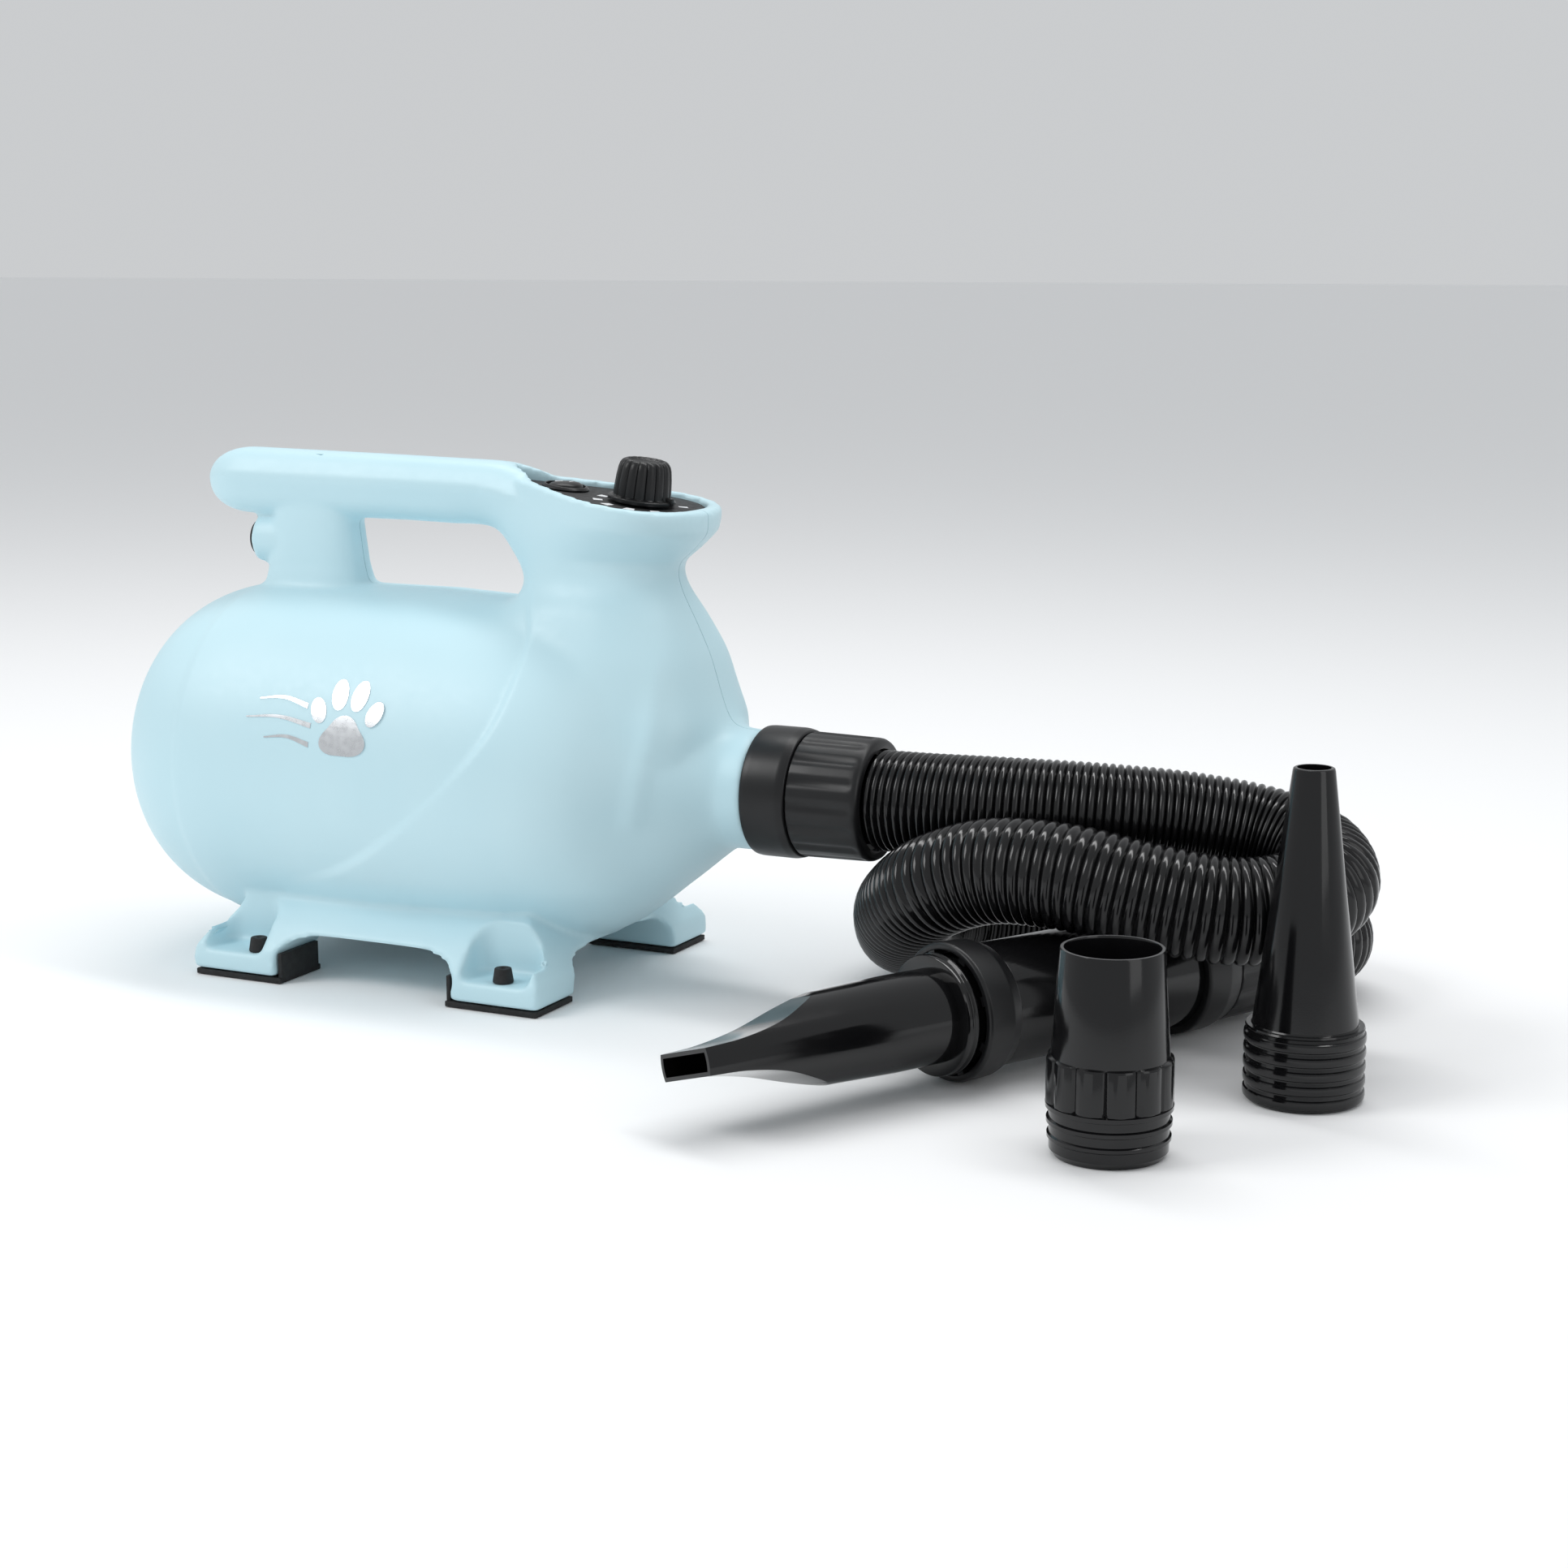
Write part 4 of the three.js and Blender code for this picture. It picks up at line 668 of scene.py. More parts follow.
def grip_section(x, half, top, bottom, count=48):
    """Crowned top that slopes to a soft ridge at each side, upright flanks and a rounded underside."""
    middle = (top + bottom) / 2
    made = []
    for c, s in soft_ring(2.5, count):
        z = middle + s * (top - bottom) / 2
        ridge = 0.9 + 0.1 * math.exp(-((s - 0.2) / 0.24) ** 2)
        made.append((x, half * c * ridge, z))
    return made


grip_middle = (GRIP_TOP + GRIP_UNDER) / 2
grip_half = (GRIP_TOP - GRIP_UNDER) / 2
grip_rings = []
for angle in (6, 14, 24, 36, 48, 60, 72, 82, 90):
    turn = math.radians(angle)
    size = math.sin(turn)
    x = -143 + 26 * (1 - math.cos(turn))
    top, under = grip_middle + grip_half * size, grip_middle - grip_half * size
    grip_rings.append(grip_section(x, 16.8 * size, top, under))
for x, half, below, deeper in [
    (-20, 16.8, 1.5, 0), (28, 17, 2.4, 1), (37, 18, 3, 4), (54, 20, 6.6, 8), (74, 22, 11, 8),
]:
    grip_rings.append(grip_section(x, half, GRIP_TOP - below, GRIP_UNDER - deeper))
grip = stacked("grip", grip_rings)

POST_REAR = -101
POST_LENGTH = 48
POST_ROWS = [
    # height over the body, spread to the rear, spread to the front, half width
    (-26, 13, 12, 26), (-8, 10.5, 9, 22), (0, 6, 5.5, 18), (10, 4, 3, 15.5), (33.5, 0, 0, 14),
    (44, 0, 0, 13),
]
post_rings = []
for up, behind, ahead, half in POST_ROWS:
    centre = (2 * POST_REAR + POST_LENGTH - behind + ahead) / 2
    reach = (POST_LENGTH + behind + ahead) / 2
    post_rings.append([(centre + reach * c, half * s, BODY_TOP + up) for c, s in soft_ring(2.6, 40)])
post = stacked("post", post_rings)

CORD_HEIGHT = BODY_TOP + 20.75
cord_axis = machine @ Matrix.Translation((0, 0, CORD_HEIGHT))
boss_profile = rounded_corners([(-112, 0), (-112, 13), (-93, 13), (-93, 0)], 1.6)
cord_boss = turned("boss", boss_profile, cord_axis)


def drop(rear, front, half, pull, power, count):
    """Drop-shaped outline with its point at the rear: a pull of 0 makes it a plain soft ring."""
    centre, reach = (rear + front) / 2, (front - rear) / 2
    made = []
    widest = 0
    for c, s in soft_ring(power, count):
        widest = max(widest, abs(s * (1 + pull * c)))
        made.append((centre + reach * c, s * (1 + pull * c)))
    return [(x, half * y / widest) for x, y in made]


HEAD_ROWS = [
    # height over the body, rear, front, half width, pull, squareness, slope
    (-106, 70, 146, 40, 0, 2.6, 0), (-81, 56, 155, 51.5, 0, 3, 0), (-57, 48, 159, 49, 0, 3, 0),
    (-44.5, 46, 154.4, 47, 0, 3, 0), (-25, 44, 148.6, 44.5, 0, 3, 0),
    (-6, 41, 139.4, 38.5, 0, 2.7, 0), (0, 47, 135.9, 35.5, 0, 2.5, 0),
    (6.5, 51, 132.9, 31.5, 0, 2.3, 0), (13.5, 46.5, 130.4, 28.8, 0.05, 2.1, 0),
    (19.3, 39, 131.9, 29.5, 0.15, 2, 0.03), (26.2, 31, 140.1, 34.5, 0.35, 2, 0.06),
    (33.6, 24, 146.9, 40.5, 0.6, 2, 0.1), (39.4, 25, HEAD_FRONT, HEAD_HALF, PANEL_PULL, 2, 0.13),
    (43, 25.4, 147.3, 42.5, PANEL_PULL, 2, RIM_SLOPE),
    (44.6, 26.2, 146.4, 41.8, PANEL_PULL, 2, RIM_SLOPE),
]
HEAD_STEPS = 4
head_rings = []
for low, high in zip(HEAD_ROWS, HEAD_ROWS[1:]):
    for step in range(HEAD_STEPS):
        share = step / HEAD_STEPS
        up, rear, front, half, pull, power, slope = (a + (b - a) * share for a, b in zip(low, high))
        outline = drop(rear, front, half, pull, power, 72)
        head_rings.append([(x, y, BODY_TOP + up + slope * (front - x)) for x, y in outline])
head = stacked("head", head_rings)


def base_outline(half, arch_half, arch_height, rise, shoulder, lift):
    """End or side view of the base: flared flanks up to the body, and an arch between the feet."""
    floor_height = 3
    rise_line = [(half, floor_height, 0), (half - 0.5, 14, 0)]
    for share in (0, 0.25, 0.5, 0.75, 1):
        reach = half - 3 - (half - 3 - shoulder) * share
        rise_line.append((reach, 18 + (lift - 17) * share ** 0.85, 0))
    flank = through(rise_line + [(shoulder - 6, 62, 0)], 5)
    arch = through(
        [(arch_half, floor_height, 0), (arch_half, rise, 0), (arch_half - 5, arch_height * 0.82, 0),
         (arch_half * 0.66, arch_height * 0.965, 0), (arch_half * 0.3, arch_height, 0),
         (0, arch_height, 0)],
        5,
    )
    right = [(p.x, p.y) for p in reversed(flank)] + [(p.x, p.y) for p in arch]
    left = [(-x, z) for x, z in reversed(right[:-1])]
    return right + left


BASE_HALF = 88
SIDE_HALF = 100
along_y = machine @ Matrix.Rotation(math.pi / 2, 4, "Z")
side_view = base_outline(SIDE_HALF, 51, 24.5, 15, 77.5, 44)
end_view = base_outline(BASE_HALF, 51, 22, 6, 52, 47)
base = prism("base", side_view, -BASE_HALF, BASE_HALF, machine)
cut(base, prism("ends", end_view, -SIDE_HALF, SIDE_HALF, along_y), "INTERSECT")


def raised(name, outline, low, high, place=machine):
    """Raises a closed outline in X and Y from low to high."""
    return stacked(name, [[(x, y, z) for x, y in outline] for z in (low, high)], place)


WELL_PLACES = [(x, side) for x in (-65, 77) for side in (-1, 1)]
WELL_SPANS = {-65: (-93.5, -60), 77: (56.5, 93.5)}
WELL_BACK = 64
WELL_MOUTH = 92
WELL_CORNER = 9
WELL_FLOOR = 13.5
WELL_TOP = 66
for x, side in WELL_PLACES:
    low, high = WELL_SPANS[x]
    well = [(low, side * WELL_MOUTH)]
    for centre, first in ((low + WELL_CORNER, 180), (high - WELL_CORNER, 90)):
        for k in range(7):
            turn = math.radians(first - 15 * k)
            inward = WELL_BACK + WELL_CORNER - WELL_CORNER * math.sin(turn)
            well.append((centre + WELL_CORNER * math.cos(turn), side * inward))
    well.append((high, side * WELL_MOUTH))
    cut(base, raised("well", well, WELL_FLOOR, WELL_TOP))

select_only(housing)
for part in (grip, post, cord_boss, head, base):
    part.select_set(True)
bpy.ops.object.join()

panel_angle = math.atan(RIM_SLOPE)
panel_spot = machine @ Matrix.Translation((RIM_REAR, 0, RIM_HEIGHT))
panel_place = panel_spot @ Matrix.Rotation(panel_angle, 4, "Y")


def along_panel(x):
    return (x - RIM_REAR) / math.cos(panel_angle)


def panel_plate(name, inset, low, high):
    outline = drop(inset, along_panel(PANEL_FRONT) - inset, PANEL_HALF - inset, PANEL_PULL, 2, 120)
    return raised(name, outline, low, high, panel_place)


def fuse(piece, voxel):
    select_only(piece)
    step = piece.modifiers.new("fuse", "REMESH")
    step.mode = "VOXEL"
    step.voxel_size = voxel * MM
    bpy.ops.object.modifier_apply(modifier="fuse")


FUSE_SIZE = 1.45
fuse(housing, FUSE_SIZE)
cut(housing, panel_plate("dish", 0, -PANEL_DEPTH, 40))
fuse(housing, FUSE_SIZE)


def ease(piece, rounds, share=None):
    """Smooths a piece, all over or by a weight from 0 to 1 at each point in the working frame."""
    select_only(piece)
    step = piece.modifiers.new("ease", "SMOOTH")
    step.factor = 0.5
    step.iterations = rounds
    if share:
        back = machine.inverted()
        group = piece.vertex_groups.new(name="ease")
        for vertex in piece.data.vertices:
            weight = share(back @ vertex.co)
            if weight > 0.01:
                group.add([vertex.index], weight, "REPLACE")
        step.vertex_group = "ease"
    bpy.ops.object.modifier_apply(modifier="ease")
    piece.vertex_groups.clear()


def step_between(value, low, high):
    t = min(1.0, max(0.0, (value - low) / (high - low)))
    return t * t * (3 - 2 * t)


ELBOW_HEIGHT = 196


def column_blend(p):
    """Weight of 1 round the foot of the column and at its joint with the grip, and 0 elsewhere."""
    foot = step_between(p.x, 15, 45) * step_between(p.z, 112, 150)
    foot *= 1 - step_between(p.z, ELBOW_HEIGHT, ELBOW_HEIGHT + 16)
    elbow = step_between(p.x, 5, 25) * (1 - step_between(p.x, 70, 95))
    elbow *= step_between(p.z, ELBOW_HEIGHT, ELBOW_HEIGHT + 12)
    return max(foot, elbow * (1 - step_between(p.z, 232, 240)))


EASE_ALL = 6
EASE_COLUMN = 150
ease(housing, EASE_ALL)
ease(housing, EASE_COLUMN, column_blend)

SWOOSH_LIFT = 2.3
SWOOSH = [
    (60, 200), (70, 180), (75, 160), (71, 136), (55, 113), (28, 89), (-6, 66), (-44, 50), (-80, 40),
]
swoosh_line = [p.to_2d() for p in through([(x, z, 0) for x, z in SWOOSH], 6)]


def swoosh_lift(p):
    """Height of the soft step in each flank: the outlet side stands a little proud of the rear."""
    fade = step_between(p.x, -70, 5) * step_between(abs(p.y), 20, 45)
    fade *= (1 - step_between(p.x, 105, 135)) * (1 - step_between(p.z, 186, 200))
    if not fade:
        return 0
    spot = Vector((p.x, p.z))
    nearest = min(range(len(swoosh_line) - 1), key=lambda i: (swoosh_line[i] - spot).length_squared)
    way = swoosh_line[nearest + 1] - swoosh_line[nearest]
    offset = spot - swoosh_line[nearest]
    side = (way.x * offset.y - way.y * offset.x) / max(way.length, 1e-6)
    return SWOOSH_LIFT * step_between(side, -2.5, 3) * fade * step_between(p.z, 40, 58)


RIDGE_LIFT = 1.5
RIDGE_REACH = 6
RIDGE = [(142, -40, 172), (140, -43, 150), (138, -46, 130), (135, -50, 112), (131, -50, 92)]
ridge_line = through(RIDGE, 6)


def ridge_lift(p):
    """Height of the soft ridge that runs down each side of the column towards the outlet."""
    spot = Vector((p.x, -abs(p.y), p.z))
    reach = min((point - spot).length for point in ridge_line)
    return RIDGE_LIFT * math.exp(-((reach / RIDGE_REACH) ** 2))


DOME_STEP = 0.9
DOME_EDGE = (106, 113)
FLANK_LENGTH = (-75, 150)
FLANK_HEIGHT = (40, 202)
FLANK_REACH = 18


def crease(piece):
    """Moves the skin in behind the dome's edge, and out along the soft step and ridge of each flank."""
    back = machine.inverted()
    lifted = []
    for vertex in piece.data.vertices:
        p = back @ vertex.co
        if p.x < -95 and p.z < 200:
            lifted.append((vertex, vertex.normal * -DOME_STEP * step_between(-p.x, *DOME_EDGE) * MM))
        on_flank = FLANK_LENGTH[0] < p.x < FLANK_LENGTH[1] and abs(p.y) > FLANK_REACH
        if on_flank and FLANK_HEIGHT[0] < p.z < FLANK_HEIGHT[1]:
            lifted.append((vertex, vertex.normal * (swoosh_lift(p) + ridge_lift(p)) * MM))
    for vertex, move in lifted:
        vertex.co += move
    piece.data.update()


crease(housing)
SHELL_TRIANGLES = 172000
select_only(housing)
thin = housing.modifiers.new("thin", "DECIMATE")
thin.ratio = SHELL_TRIANGLES / sum(len(face.vertices) - 2 for face in housing.data.polygons)
bpy.ops.object.modifier_apply(modifier="thin")
cut(housing, panel_plate("dish_floor", 0, -PANEL_DEPTH, -0.9))


def open_pocket(piece, tool, is_floor):
    """Cuts a pocket, then takes its floor away so that it opens into the housing."""
    cut(piece, tool)
    back = machine.inverted()
    select_only(piece)
    bpy.ops.object.mode_set(mode="EDIT")
    bpy.ops.mesh.select_all(action="DESELECT")
    bpy.ops.mesh.select_mode(type="FACE")
    edit = bmesh.from_edit_mesh(piece.data)
    for face in edit.faces:
        face.select_set(is_floor(back @ face.calc_center_median(), face.normal))
    bmesh.update_edit_mesh(piece.data)
    bpy.ops.mesh.delete(type="FACE")
    bpy.ops.object.mode_set(mode="OBJECT")


FLOOR_NEAR = 0.02
FLOOR_FACING = 0.9
STEM_SIDE = 80
STEM_HOLE = 3.3
for x, side in WELL_PLACES:
    cut(housing, rod("stem_hole", -5, 20, STEM_HOLE, upright(x, side * STEM_SIDE), 32))
SCREWS = {
    "handle": (-122, GRIP_UNDER + 17), "post": (-77, BODY_TOP + 12), "head": (100, BODY_TOP + 16),
    "column": (134, AXIS_HEIGHT + 56), "front_lower": (118, AXIS_HEIGHT - 52),
    "rear_upper": (-128, AXIS_HEIGHT + 58), "rear_lower": (-104, AXIS_HEIGHT - 72),
    "middle_lower": (60, AXIS_HEIGHT - 72),
}
SCREW_SEAT = 9
SINK_RADIUS = 4
for x, z in SCREWS.values():
    sink_place = machine @ Matrix.Translation((x, 0, z)) @ Matrix.Rotation(math.pi / 2, 4, "Z")
    cut(housing, rod("sink", SCREW_SEAT, 120, SINK_RADIUS, sink_place, 32))
POCKETS = [
    # name, mouth, floor, radius, axis, sides
    ("intake", -190, -148, 44, air_axis, 96), ("neck", 190, 150, 26.7, air_axis, 96),
    ("gland", -125, -90, 7.8, cord_axis, 48),
]
for name, mouth, bottom, radius, axis, sides in POCKETS:
    tool = rod(name, min(mouth, bottom), max(mouth, bottom), radius, axis, sides)
    open_pocket(
        housing, tool, lambda p, n: abs(p.x - bottom) < FLOOR_NEAR and abs(n.x) > FLOOR_FACING
    )
LIP_INSET = 4
LIP_FLOOR = -PANEL_DEPTH - 4
to_panel = panel_place.inverted() @ machine
open_pocket(
    housing, panel_plate("lip", LIP_INSET, LIP_FLOOR, -PANEL_DEPTH + 2),
    lambda p, n: abs((to_panel @ p).z - LIP_FLOOR) < FLOOR_NEAR and abs(n.z) > FLOOR_FACING,
)

housing_blue = Finish("housing_blue", (0.5, 0.745, 0.84), 0.4)
housing_blue.colors((0.525, 0.745, 0.815), (0.555, 0.765, 0.83), 14, 2)
housing_blue.gloss(0.37, 0.47, 240, 4).grain(0.00003, 0.55, 3200, 2).also(Specular_IOR_Level=0.45)


def half_of(piece, name, side):
    """Keeps one side of the middle plane, less half the gap, and gives it its wall."""
    select_only(piece)
    bpy.ops.object.duplicate()
    half = bpy.context.object
    half.name = name
    bpy.ops.object.mode_set(mode="EDIT")
    bpy.ops.mesh.select_all(action="SELECT")
    bpy.ops.mesh.bisect(
        plane_co=at(0, side * SEAM_GAP / 2, 0), plane_no=(0, side, 0), use_fill=False,
        clear_inner=True,
    )
    bpy.ops.mesh.select_all(action="SELECT")
    bpy.ops.mesh.remove_doubles(threshold=DOUBLES)
    bpy.ops.object.mode_set(mode="OBJECT")
    wall = half.modifiers.new("wall", "SOLIDIFY")
    wall.thickness = WALL * MM
    wall.offset = -1
    wall.use_even_offset = False
    bpy.ops.object.modifier_apply(modifier="wall")
    return half


near_half = half_of(housing, "housing_near", -1)
far_half = half_of(housing, "housing_far", 1)
bpy.data.objects.remove(housing)
finished(near_half, housing_blue, "housing", "housing_plastic", "near_shell", angle=50)
finished(far_half, housing_blue, "housing", "housing_plastic", "far_shell", angle=50)

# Control panel: a matte black plate with a fine grain, dropped into the recess of the head. It is
# bored for the switch and for the knob's shaft, and speed marks are printed round the knob.
PANEL_PLATE = 2.5
SWITCH_PLACE = along_panel(69)
KNOB_PLACE = along_panel(111)
BEZEL_RADIUS = 11.6
SHAFT_HOLE = 4.8


def above_panel(x, height=0):
    """Frame on the panel whose own X axis points up out of it."""
    return panel_place @ Matrix.Translation((x, 0, height)) @ x_to_up


def bevel(piece, width, angle=40, segments=3):
    select_only(piece)
    step = piece.modifiers.new("edge", "BEVEL")
    step.width = width * MM
    step.segments = segments
    step.limit_method = "ANGLE"
    step.angle_limit = math.radians(angle)
    step.use_clamp_overlap = True
    bpy.ops.object.modifier_apply(modifier="edge")


panel = panel_plate("control_plate", 0.5, PANEL_TOP - PANEL_PLATE, PANEL_TOP)
bevel(panel, 0.45)
for x, bore in ((SWITCH_PLACE, BEZEL_RADIUS - 0.9), (KNOB_PLACE, SHAFT_HOLE)):
    cut(panel, rod("bore", -12, 2, bore, above_panel(x), 64))
panel_black = Finish("panel_matte_black", (0.011, 0.011, 0.012), 0.62)
panel_black.gloss(0.52, 0.7, 300).grain(0.00012, 0.8, 1900, 4)
finished(panel, panel_black, "housing", "panel_plastic", "control_panel")

print_white = Finish("print_white", (0.78, 0.8, 0.82), 0.55)
print_white.gloss(0.48, 0.62, 500)
MARKS = 9
MARK_INNER = 18.8
MARK_OUTER = 23.4
marks = None
for i in range(MARKS):
    turn = math.radians(42 + 276 * i / (MARKS - 1))
    half_in, half_out = 1.3 + 0.1 * i, 1.8 + 0.15 * i
    corners = [
        (MARK_INNER, -half_in), (MARK_OUTER, -half_out), (MARK_OUTER, half_out), (MARK_INNER, half_in),
    ]
    spot = panel_place @ Matrix.Translation((KNOB_PLACE, 0, 0)) @ Matrix.Rotation(turn, 4, "Z")
    mark = raised("mark", corners, PANEL_TOP - 0.2, PANEL_TOP + 0.08, spot)
    marks = cut(marks, mark, "UNION") if marks else mark
marks.name = "speed_marks"
finished(marks, print_white, "housing", "panel_plastic")


# Power switch: a round rocker in a soft-edged bezel. The button has a low dome, tips about its cross
# axis and rests on its O side, and its two marks are printed on it.
ROCKER_TILT = 7
BUTTON_RADIUS = 8.9
BODY_DEPTH = -24
switch_profile = [
    (BODY_DEPTH, 0), (BODY_DEPTH, 10.4), (PANEL_TOP + 0.3, 10.4), (PANEL_TOP + 0.3, BEZEL_RADIUS),
    (PANEL_TOP + 0.9, BEZEL_RADIUS), (PANEL_TOP + 2, 10.5), (PANEL_TOP + 2, 9.7), (-10, 9.7), (-10, 0),
]
switch = turned("switch_base", rounded_corners(switch_profile, 0.35), above_panel(SWITCH_PLACE))
finished(switch, satin_black, "housing", "satin_black", "switch_body")

rocker_place = (
    panel_place @ Matrix.Translation((SWITCH_PLACE, 0, PANEL_TOP - 1))
    @ Matrix.Rotation(math.radians(-ROCKER_TILT), 4, "Y")
)
rocker_up = rocker_place @ x_to_up
dome = [
    (-3, 0), (-3, BUTTON_RADIUS), (1.5, BUTTON_RADIUS), (2.9, 8.3), (3.8, 6.9), (4.35, 4.6), (4.6, 0),
]
rocker = turned("switch_button", dome, rocker_up)
bevel(rocker, 0.3, 25)
finished(rocker, satin_black, "rocker", "satin_black", "rocker_button", angle=50)

off_place = rocker_place @ Matrix.Translation((-3.6, 0, 0)) @ x_to_up
off_ring = rod("off", 3.6, 4.55, 1.95, off_place, 40, 1.35)
on_bar = raised("on", [(3, -1.7), (3.6, -1.7), (3.6, 1.7), (3, 1.7)], 3.6, 4.58, rocker_place)
rocker_marks = cut(off_ring, on_bar, "UNION")
rocker_marks.name = "switch_marks"
finished(rocker_marks, print_white, "rocker", "panel_plastic")


# Speed knob: a satin black moulding with sixteen rounded flutes over a round skirt, a crown that
# dips in the middle, and a pointer lug on the skirt. It presses on to the dimmer's brass shaft.
KNOB_FLUTES = 16
KNOB_FOOT = PANEL_TOP + 1
knob_spot = panel_place @ Matrix.Translation((KNOB_PLACE, 0, KNOB_FOOT))
KNOB_ROWS = [
    # height, radius, depth of the flutes
    (0, 15.8, 0), (0.4, 16.4, 0), (0.9, 16.5, 0), (1.9, 16.45, 0), (2.4, 15.9, 0), (2.5, 14.6, 0.3),
    (3, 14.1, 0.9), (7, 13.9, 1), (12, 13.5, 1), (16.2, 12.9, 1), (18.2, 12.3, 1), (19.5, 11.4, 1),
    (20.2, 10.4, 1), (20.5, 9.5, 0.9), (20.4, 8.8, 0.7), (19.9, 8.2, 0.4), (19.4, 7.4, 0.1),
    (19.2, 5, 0), (19.1, 2.5, 0), (19.1, 0.5, 0),
]
knob_rings = []
for height, radius, depth in KNOB_ROWS:
    ring = fluted(height, KNOB_FLUTES * 10, lambda angle: (
        radius * (1 - 0.085 * depth * (1 - abs(math.cos(KNOB_FLUTES / 2 * angle)) ** 0.55))
    ))
    knob_rings.append([(y, z, x) for x, y, z in ring])
knob = stacked("fluted_speed_knob", knob_rings, knob_spot)


def slab(name, x, y, z, place=machine, round_edge=0.4):
    """A block between two limits on each axis, with its edges rounded over."""
    select_none()
    middle = [(v[0] + v[1]) / 2 for v in (x, y, z)]
    bpy.ops.mesh.primitive_cube_add(size=1, location=middle, scale=[v[1] - v[0] for v in (x, y, z)])
    made = bpy.context.object
    made.name = name
    bpy.ops.object.transform_apply(location=True, rotation=True, scale=True)
    bpy.ops.object.mode_set(mode="EDIT")
    bpy.ops.mesh.select_all(action="SELECT")
    bpy.ops.mesh.bevel(offset=round_edge, segments=3, affect="EDGES")
    bpy.ops.object.mode_set(mode="OBJECT")
    made.data.transform(place)
    return made


cut(knob, slab("pointer", (12.5, 17.1), (-1.4, 1.4), (0.9, 4.3), knob_spot, 0.5), "UNION")
knob_up = knob_spot @ x_to_up
cut(knob, rod("bore", -1, 12.3, 3.3, knob_up, 40))
finished(knob, satin_black, "knob", "satin_black", "speed_knob", angle=38)


# Feet: matte black rubber. Each is a thin pad with an upright block against the long arch, and a stem
# through the shell that ends in a tapered plug in the well above.
rubber = Finish("foot_rubber", (0.012, 0.012, 0.0125), 0.78)
rubber.gloss(0.68, 0.86, 260).grain(0.00008, 0.7, 1500, 4)
FOOT_MIDDLE = 69.5
FOOT_HALF = 17.3
BLOCK_HALF = 15.8
PAD_HEIGHT = 2.7
BLOCK_HEIGHT = 15
FOOT_NAMES = {
    (-65, -1): "rear_near", (-65, 1): "rear_far", (77, -1): "front_near", (77, 1): "front_far",
}
plug_profile = [
    (1.7, 0), (1.7, 3), (13.8, 3), (13.8, 5), (14.6, 5.05), (20.8, 4.05), (20.8, 1.5), (19.8, 1),
    (19.8, 0),
]
for (x, side), where in FOOT_NAMES.items():
    end = math.copysign(1, x)
    middle = side * FOOT_MIDDLE
    across = (middle - FOOT_HALF, middle + FOOT_HALF)
    block_across = (middle - BLOCK_HALF, middle + BLOCK_HALF)
    pad = slab("foot_pad_" + where, sorted((end * 48, end * 99)), across, (0, PAD_HEIGHT))
    block_along = sorted((end * 48, end * 50.3))
    cut(pad, slab("block", block_along, block_across, (0.4, BLOCK_HEIGHT), machine, 0.5), "UNION")
    plug = turned("plug", rounded_corners(plug_profile, 0.5), upright(x, side * STEM_SIDE), 40)
    cut(pad, plug, "UNION")
    finished(pad, rubber, "housing", "rubber", "foot_" + where)


# Cord entry: a rubber bushing in the boss behind the post, ribbed where it grips a supply cord.
gland_profile = [(-117, 3.6), (-117, 5.4)]
for k in range(3):
    gland_profile += [(-116.4 + 0.7 * k, 6 + 0.9 * k), (-116.1 + 0.7 * k, 5.7 + 0.9 * k)]
gland_profile += [(-114.3, 9.3), (-112.3, 9.5), (-112.3, 7.5), (-95, 7.5), (-95, 3.6)]
gland = turned("cord_bushing", gland_profile, cord_axis, 64)
finished(gland, rubber, "housing", "rubber", "cord_gland")


# Intake cover: a domed disc in the housing's plastic that presses into the rear socket, slotted in
# five rings between six spokes. The filter foam shows behind it.
cover_profile = [
    (-171.5, 0), (-170.8, 18), (-169, 32), (-167, 41.4), (-165.5, 43.3), (-164, 43.7),
    (-156.1, 43.7), (-156.1, 41.3), (-163.2, 41.2), (-166.2, 31.5), (-168, 18), (-168.8, 0),
]
cover = turned("intake_grille", cover_profile, air_axis, 128)
SLOTS = 5
SLOT_PITCH = 6.4
SLOT_WIDTH = 3.2
slots = None
for k in range(SLOTS):
    inner = 6 + SLOT_PITCH * k
    ring = rod("slot", -176, -160, inner + SLOT_WIDTH, air_axis, 128, inner)
    if slots:
        select_only(slots)
        ring.select_set(True)
        bpy.ops.object.join()
    else:
        slots = ring
for k in range(3):
    spoke_place = air_axis @ Matrix.Rotation(math.pi * k / 3, 4, "X")
    cut(slots, slab("spoke", (-178, -158), (-40, 40), (-1.7, 1.7), spoke_place, 0.1))
cut(cover, slots)
bevel(cover, 0.35, 50, 2)
finished(cover, housing_blue, "intake", "housing_plastic", "intake_cover")


# Housing screws: zinc-plated pan heads with a cross recess, sunk in the far half and driven into the
# bosses of the near one. One is turned and cut, and the others are copies of it.
steel = Finish("zinc_steel", (0.56, 0.57, 0.58), 0.32, 1)
steel.gloss(0.24, 0.42, 220).grain(0.00003, 0.5, 1200)
screw_profile = [
    (-8, 0), (-7, 1.1), (-5.5, 1.9), (9.3, 1.9), (9.3, 3.7), (10.4, 3.65), (11.2, 3), (11.7, 1.8),
    (11.8, 0),
]
first_screw = turned("screw", screw_profile, along_y, 40)
for turn in (0, math.pi / 2):
    blade_place = along_y @ Matrix.Rotation(turn, 4, "X")
    cut(first_screw, slab("blade", (10.1, 13), (-2.2, 2.2), (-0.38, 0.38), blade_place, 0.05))
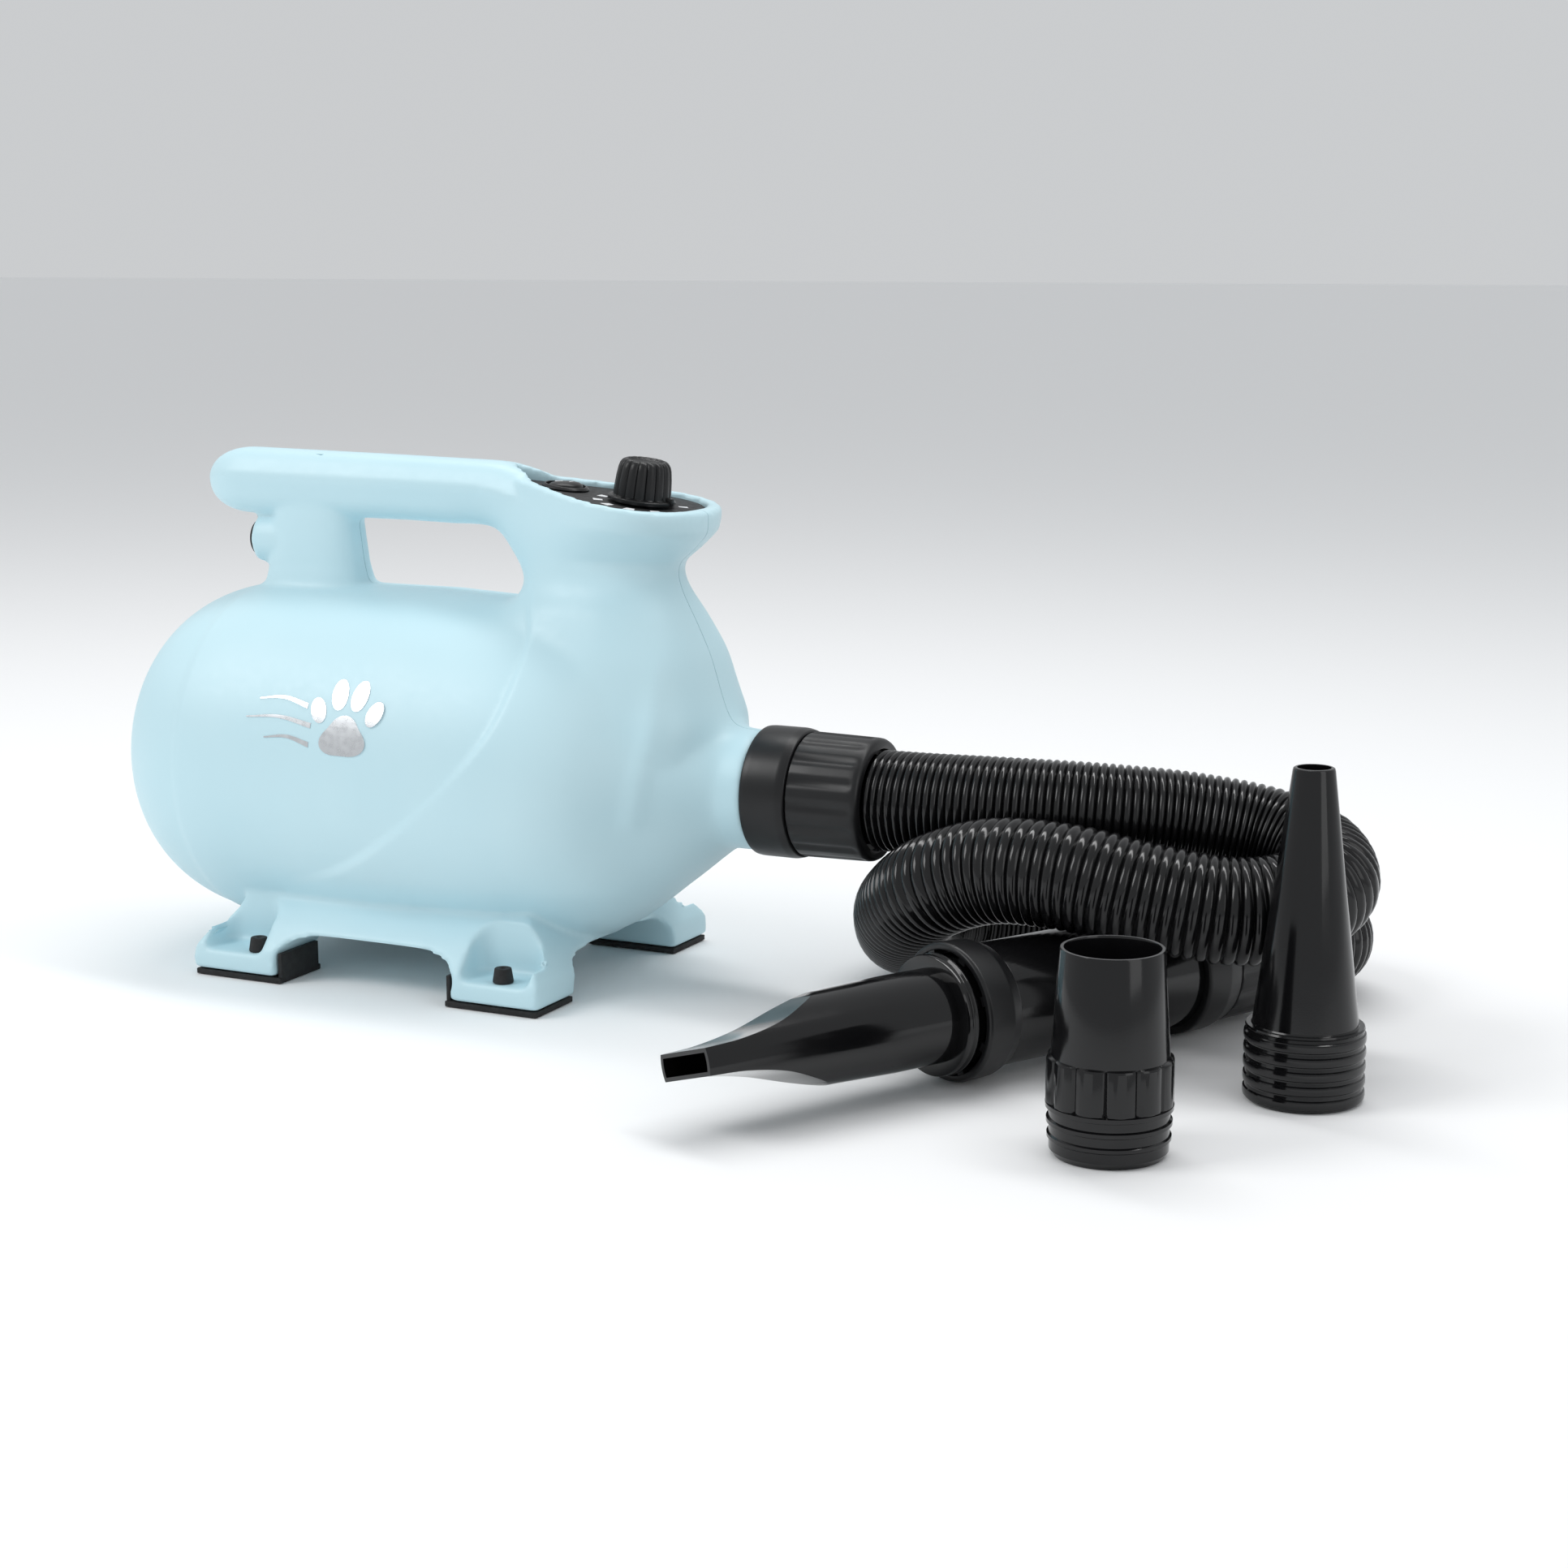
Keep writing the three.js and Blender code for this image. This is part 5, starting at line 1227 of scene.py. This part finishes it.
for where, (x, z) in SCREWS.items():
    select_only(first_screw)
    bpy.ops.object.duplicate()
    screw = bpy.context.object
    screw.name = "pan_screw_" + where
    screw.data.transform(Matrix.Translation((x * MM, 0, z * MM)))
    finished(screw, steel, "housing", "steel", "screw_" + where)
bpy.data.objects.remove(first_screw)


# Emblem: a generic paw with three lines of moving air behind it, printed in silver on the near flank.
# Its outlines are raised through a thin skin of the barrel, so that it follows the curve.
EMBLEM = (-20, 134)
EMBLEM_SIZE = 1.2
silver = Finish("silver_print", (0.66, 0.68, 0.7), 0.3, 0.85)
silver.gloss(0.22, 0.36, 300).grain(0.00002, 0.5, 2000)


def emblem_part(outline):
    points = [(EMBLEM[0] + EMBLEM_SIZE * x, EMBLEM[1] + EMBLEM_SIZE * z) for x, z in outline]
    return prism("part", points, -96, -60, machine)


def oval(x, z, wide, tall, lean, count=36):
    c, s = math.cos(math.radians(lean)), math.sin(math.radians(lean))
    made = []
    for i in range(count):
        u, v = wide * math.cos(2 * math.pi * i / count), tall * math.sin(2 * math.pi * i / count)
        made.append((x + u * c - v * s, z + u * s + v * c))
    return made


def pad_outline(count=48):
    """Main pad of the paw: broad below with two soft lobes, narrower above."""
    made = []
    for i in range(count):
        turn = 2 * math.pi * i / count
        r = 9.2 * (1 + 0.13 * math.cos(3 * turn + math.pi / 2) - 0.06 * math.sin(turn))
        made.append((10 + 1.12 * r * math.cos(turn), -6 + 0.86 * r * math.sin(turn)))
    return made


emblem = emblem_part(pad_outline())
toes = [
    # place, half width, half height, lean
    (-3.4, 3.6, 3.5, 5.2, 28), (5.2, 10, 3.8, 5.9, 9), (14.8, 10, 3.8, 5.9, -9),
    (23.4, 3.6, 3.5, 5.2, -28),
]
for toe in toes:
    cut(emblem, emblem_part(oval(*toe)), "UNION")
for length, height in ((24, 6), (32, -1.5), (22, -9)):
    start = -9 if height > 0 else -6
    middle, tip = start - length / 2, start - length
    upper = through([(start, height, 0), (middle, height + 2.2, 0), (tip, height + 0.8, 0)], 10)
    lower = [(p.x, p.y - 2.1 + 1.6 * i / 20) for i, p in enumerate(upper)]
    cut(emblem, emblem_part([(p.x, p.y) for p in upper] + lower[::-1]), "UNION")
PRINT_RADIUS = BODY_RADIUS + 0.28
skin_profile = [(-75, 80), (-75, PRINT_RADIUS), (0, PRINT_RADIUS), (60, PRINT_RADIUS), (60, 80)]
cut(emblem, turned("skin", skin_profile, air_axis, 240), "INTERSECT")
emblem.name = "paw_emblem"
finished(emblem, silver, "housing", "alloy")


# Inner parts: the blower, the motor, the speed board and the filter keep their built shapes, and take
# the finishes of pressed alloy, ground steel, windings, brass, rubber, foam and circuit board.
alloy = Finish("pressed_alloy", (0.6, 0.61, 0.62), 0.38, 1)
alloy.gloss(0.3, 0.5, 90, 3, (1, 8, 8)).grain(0.00004, 0.6, 500, 3, (1, 10, 10))
copper = Finish("copper_winding", (0.55, 0.24, 0.1), 0.34, 1)
copper.colors((0.36, 0.14, 0.06), (0.66, 0.3, 0.14), 260, 2, (8, 1, 1))
copper.gloss(0.26, 0.45, 400, 2, (8, 1, 1)).grain(0.0002, 0.9, 700, 1, (8, 1, 1))
brass = Finish("turned_brass", (0.62, 0.42, 0.13), 0.28, 1)
brass.gloss(0.2, 0.36, 300, 2, (12, 1, 1)).grain(0.00002, 0.5, 900, 1, (12, 1, 1))
foam = Finish("filter_foam_grey", (0.03, 0.03, 0.032), 0.95)
foam.colors((0.008, 0.008, 0.009), (0.055, 0.056, 0.06), 700, 2).grain(0.0006, 1, 800, 2)
board_green = Finish("board_green", (0.02, 0.12, 0.045), 0.42)
board_green.colors((0.014, 0.09, 0.034), (0.03, 0.16, 0.06), 160, 2).grain(0.00008, 0.6, 500)
inner_finishes = {
    "housing_plastic": housing_blue, "panel_plastic": panel_black, "satin_black": satin_black,
    "gloss_black": gloss_black, "hose_black": hose_black, "rubber": rubber, "steel": steel,
    "alloy": alloy, "copper": copper, "brass": brass, "foam": foam, "board": board_green,
}
slot_of = {row["node"]: row["material_slot"] for row in frame["record"]["subparts"]}
for node, piece in frame["nodes"].items():
    piece.data.materials.clear()
    piece.data.materials.append(inner_finishes[slot_of[node]].material)
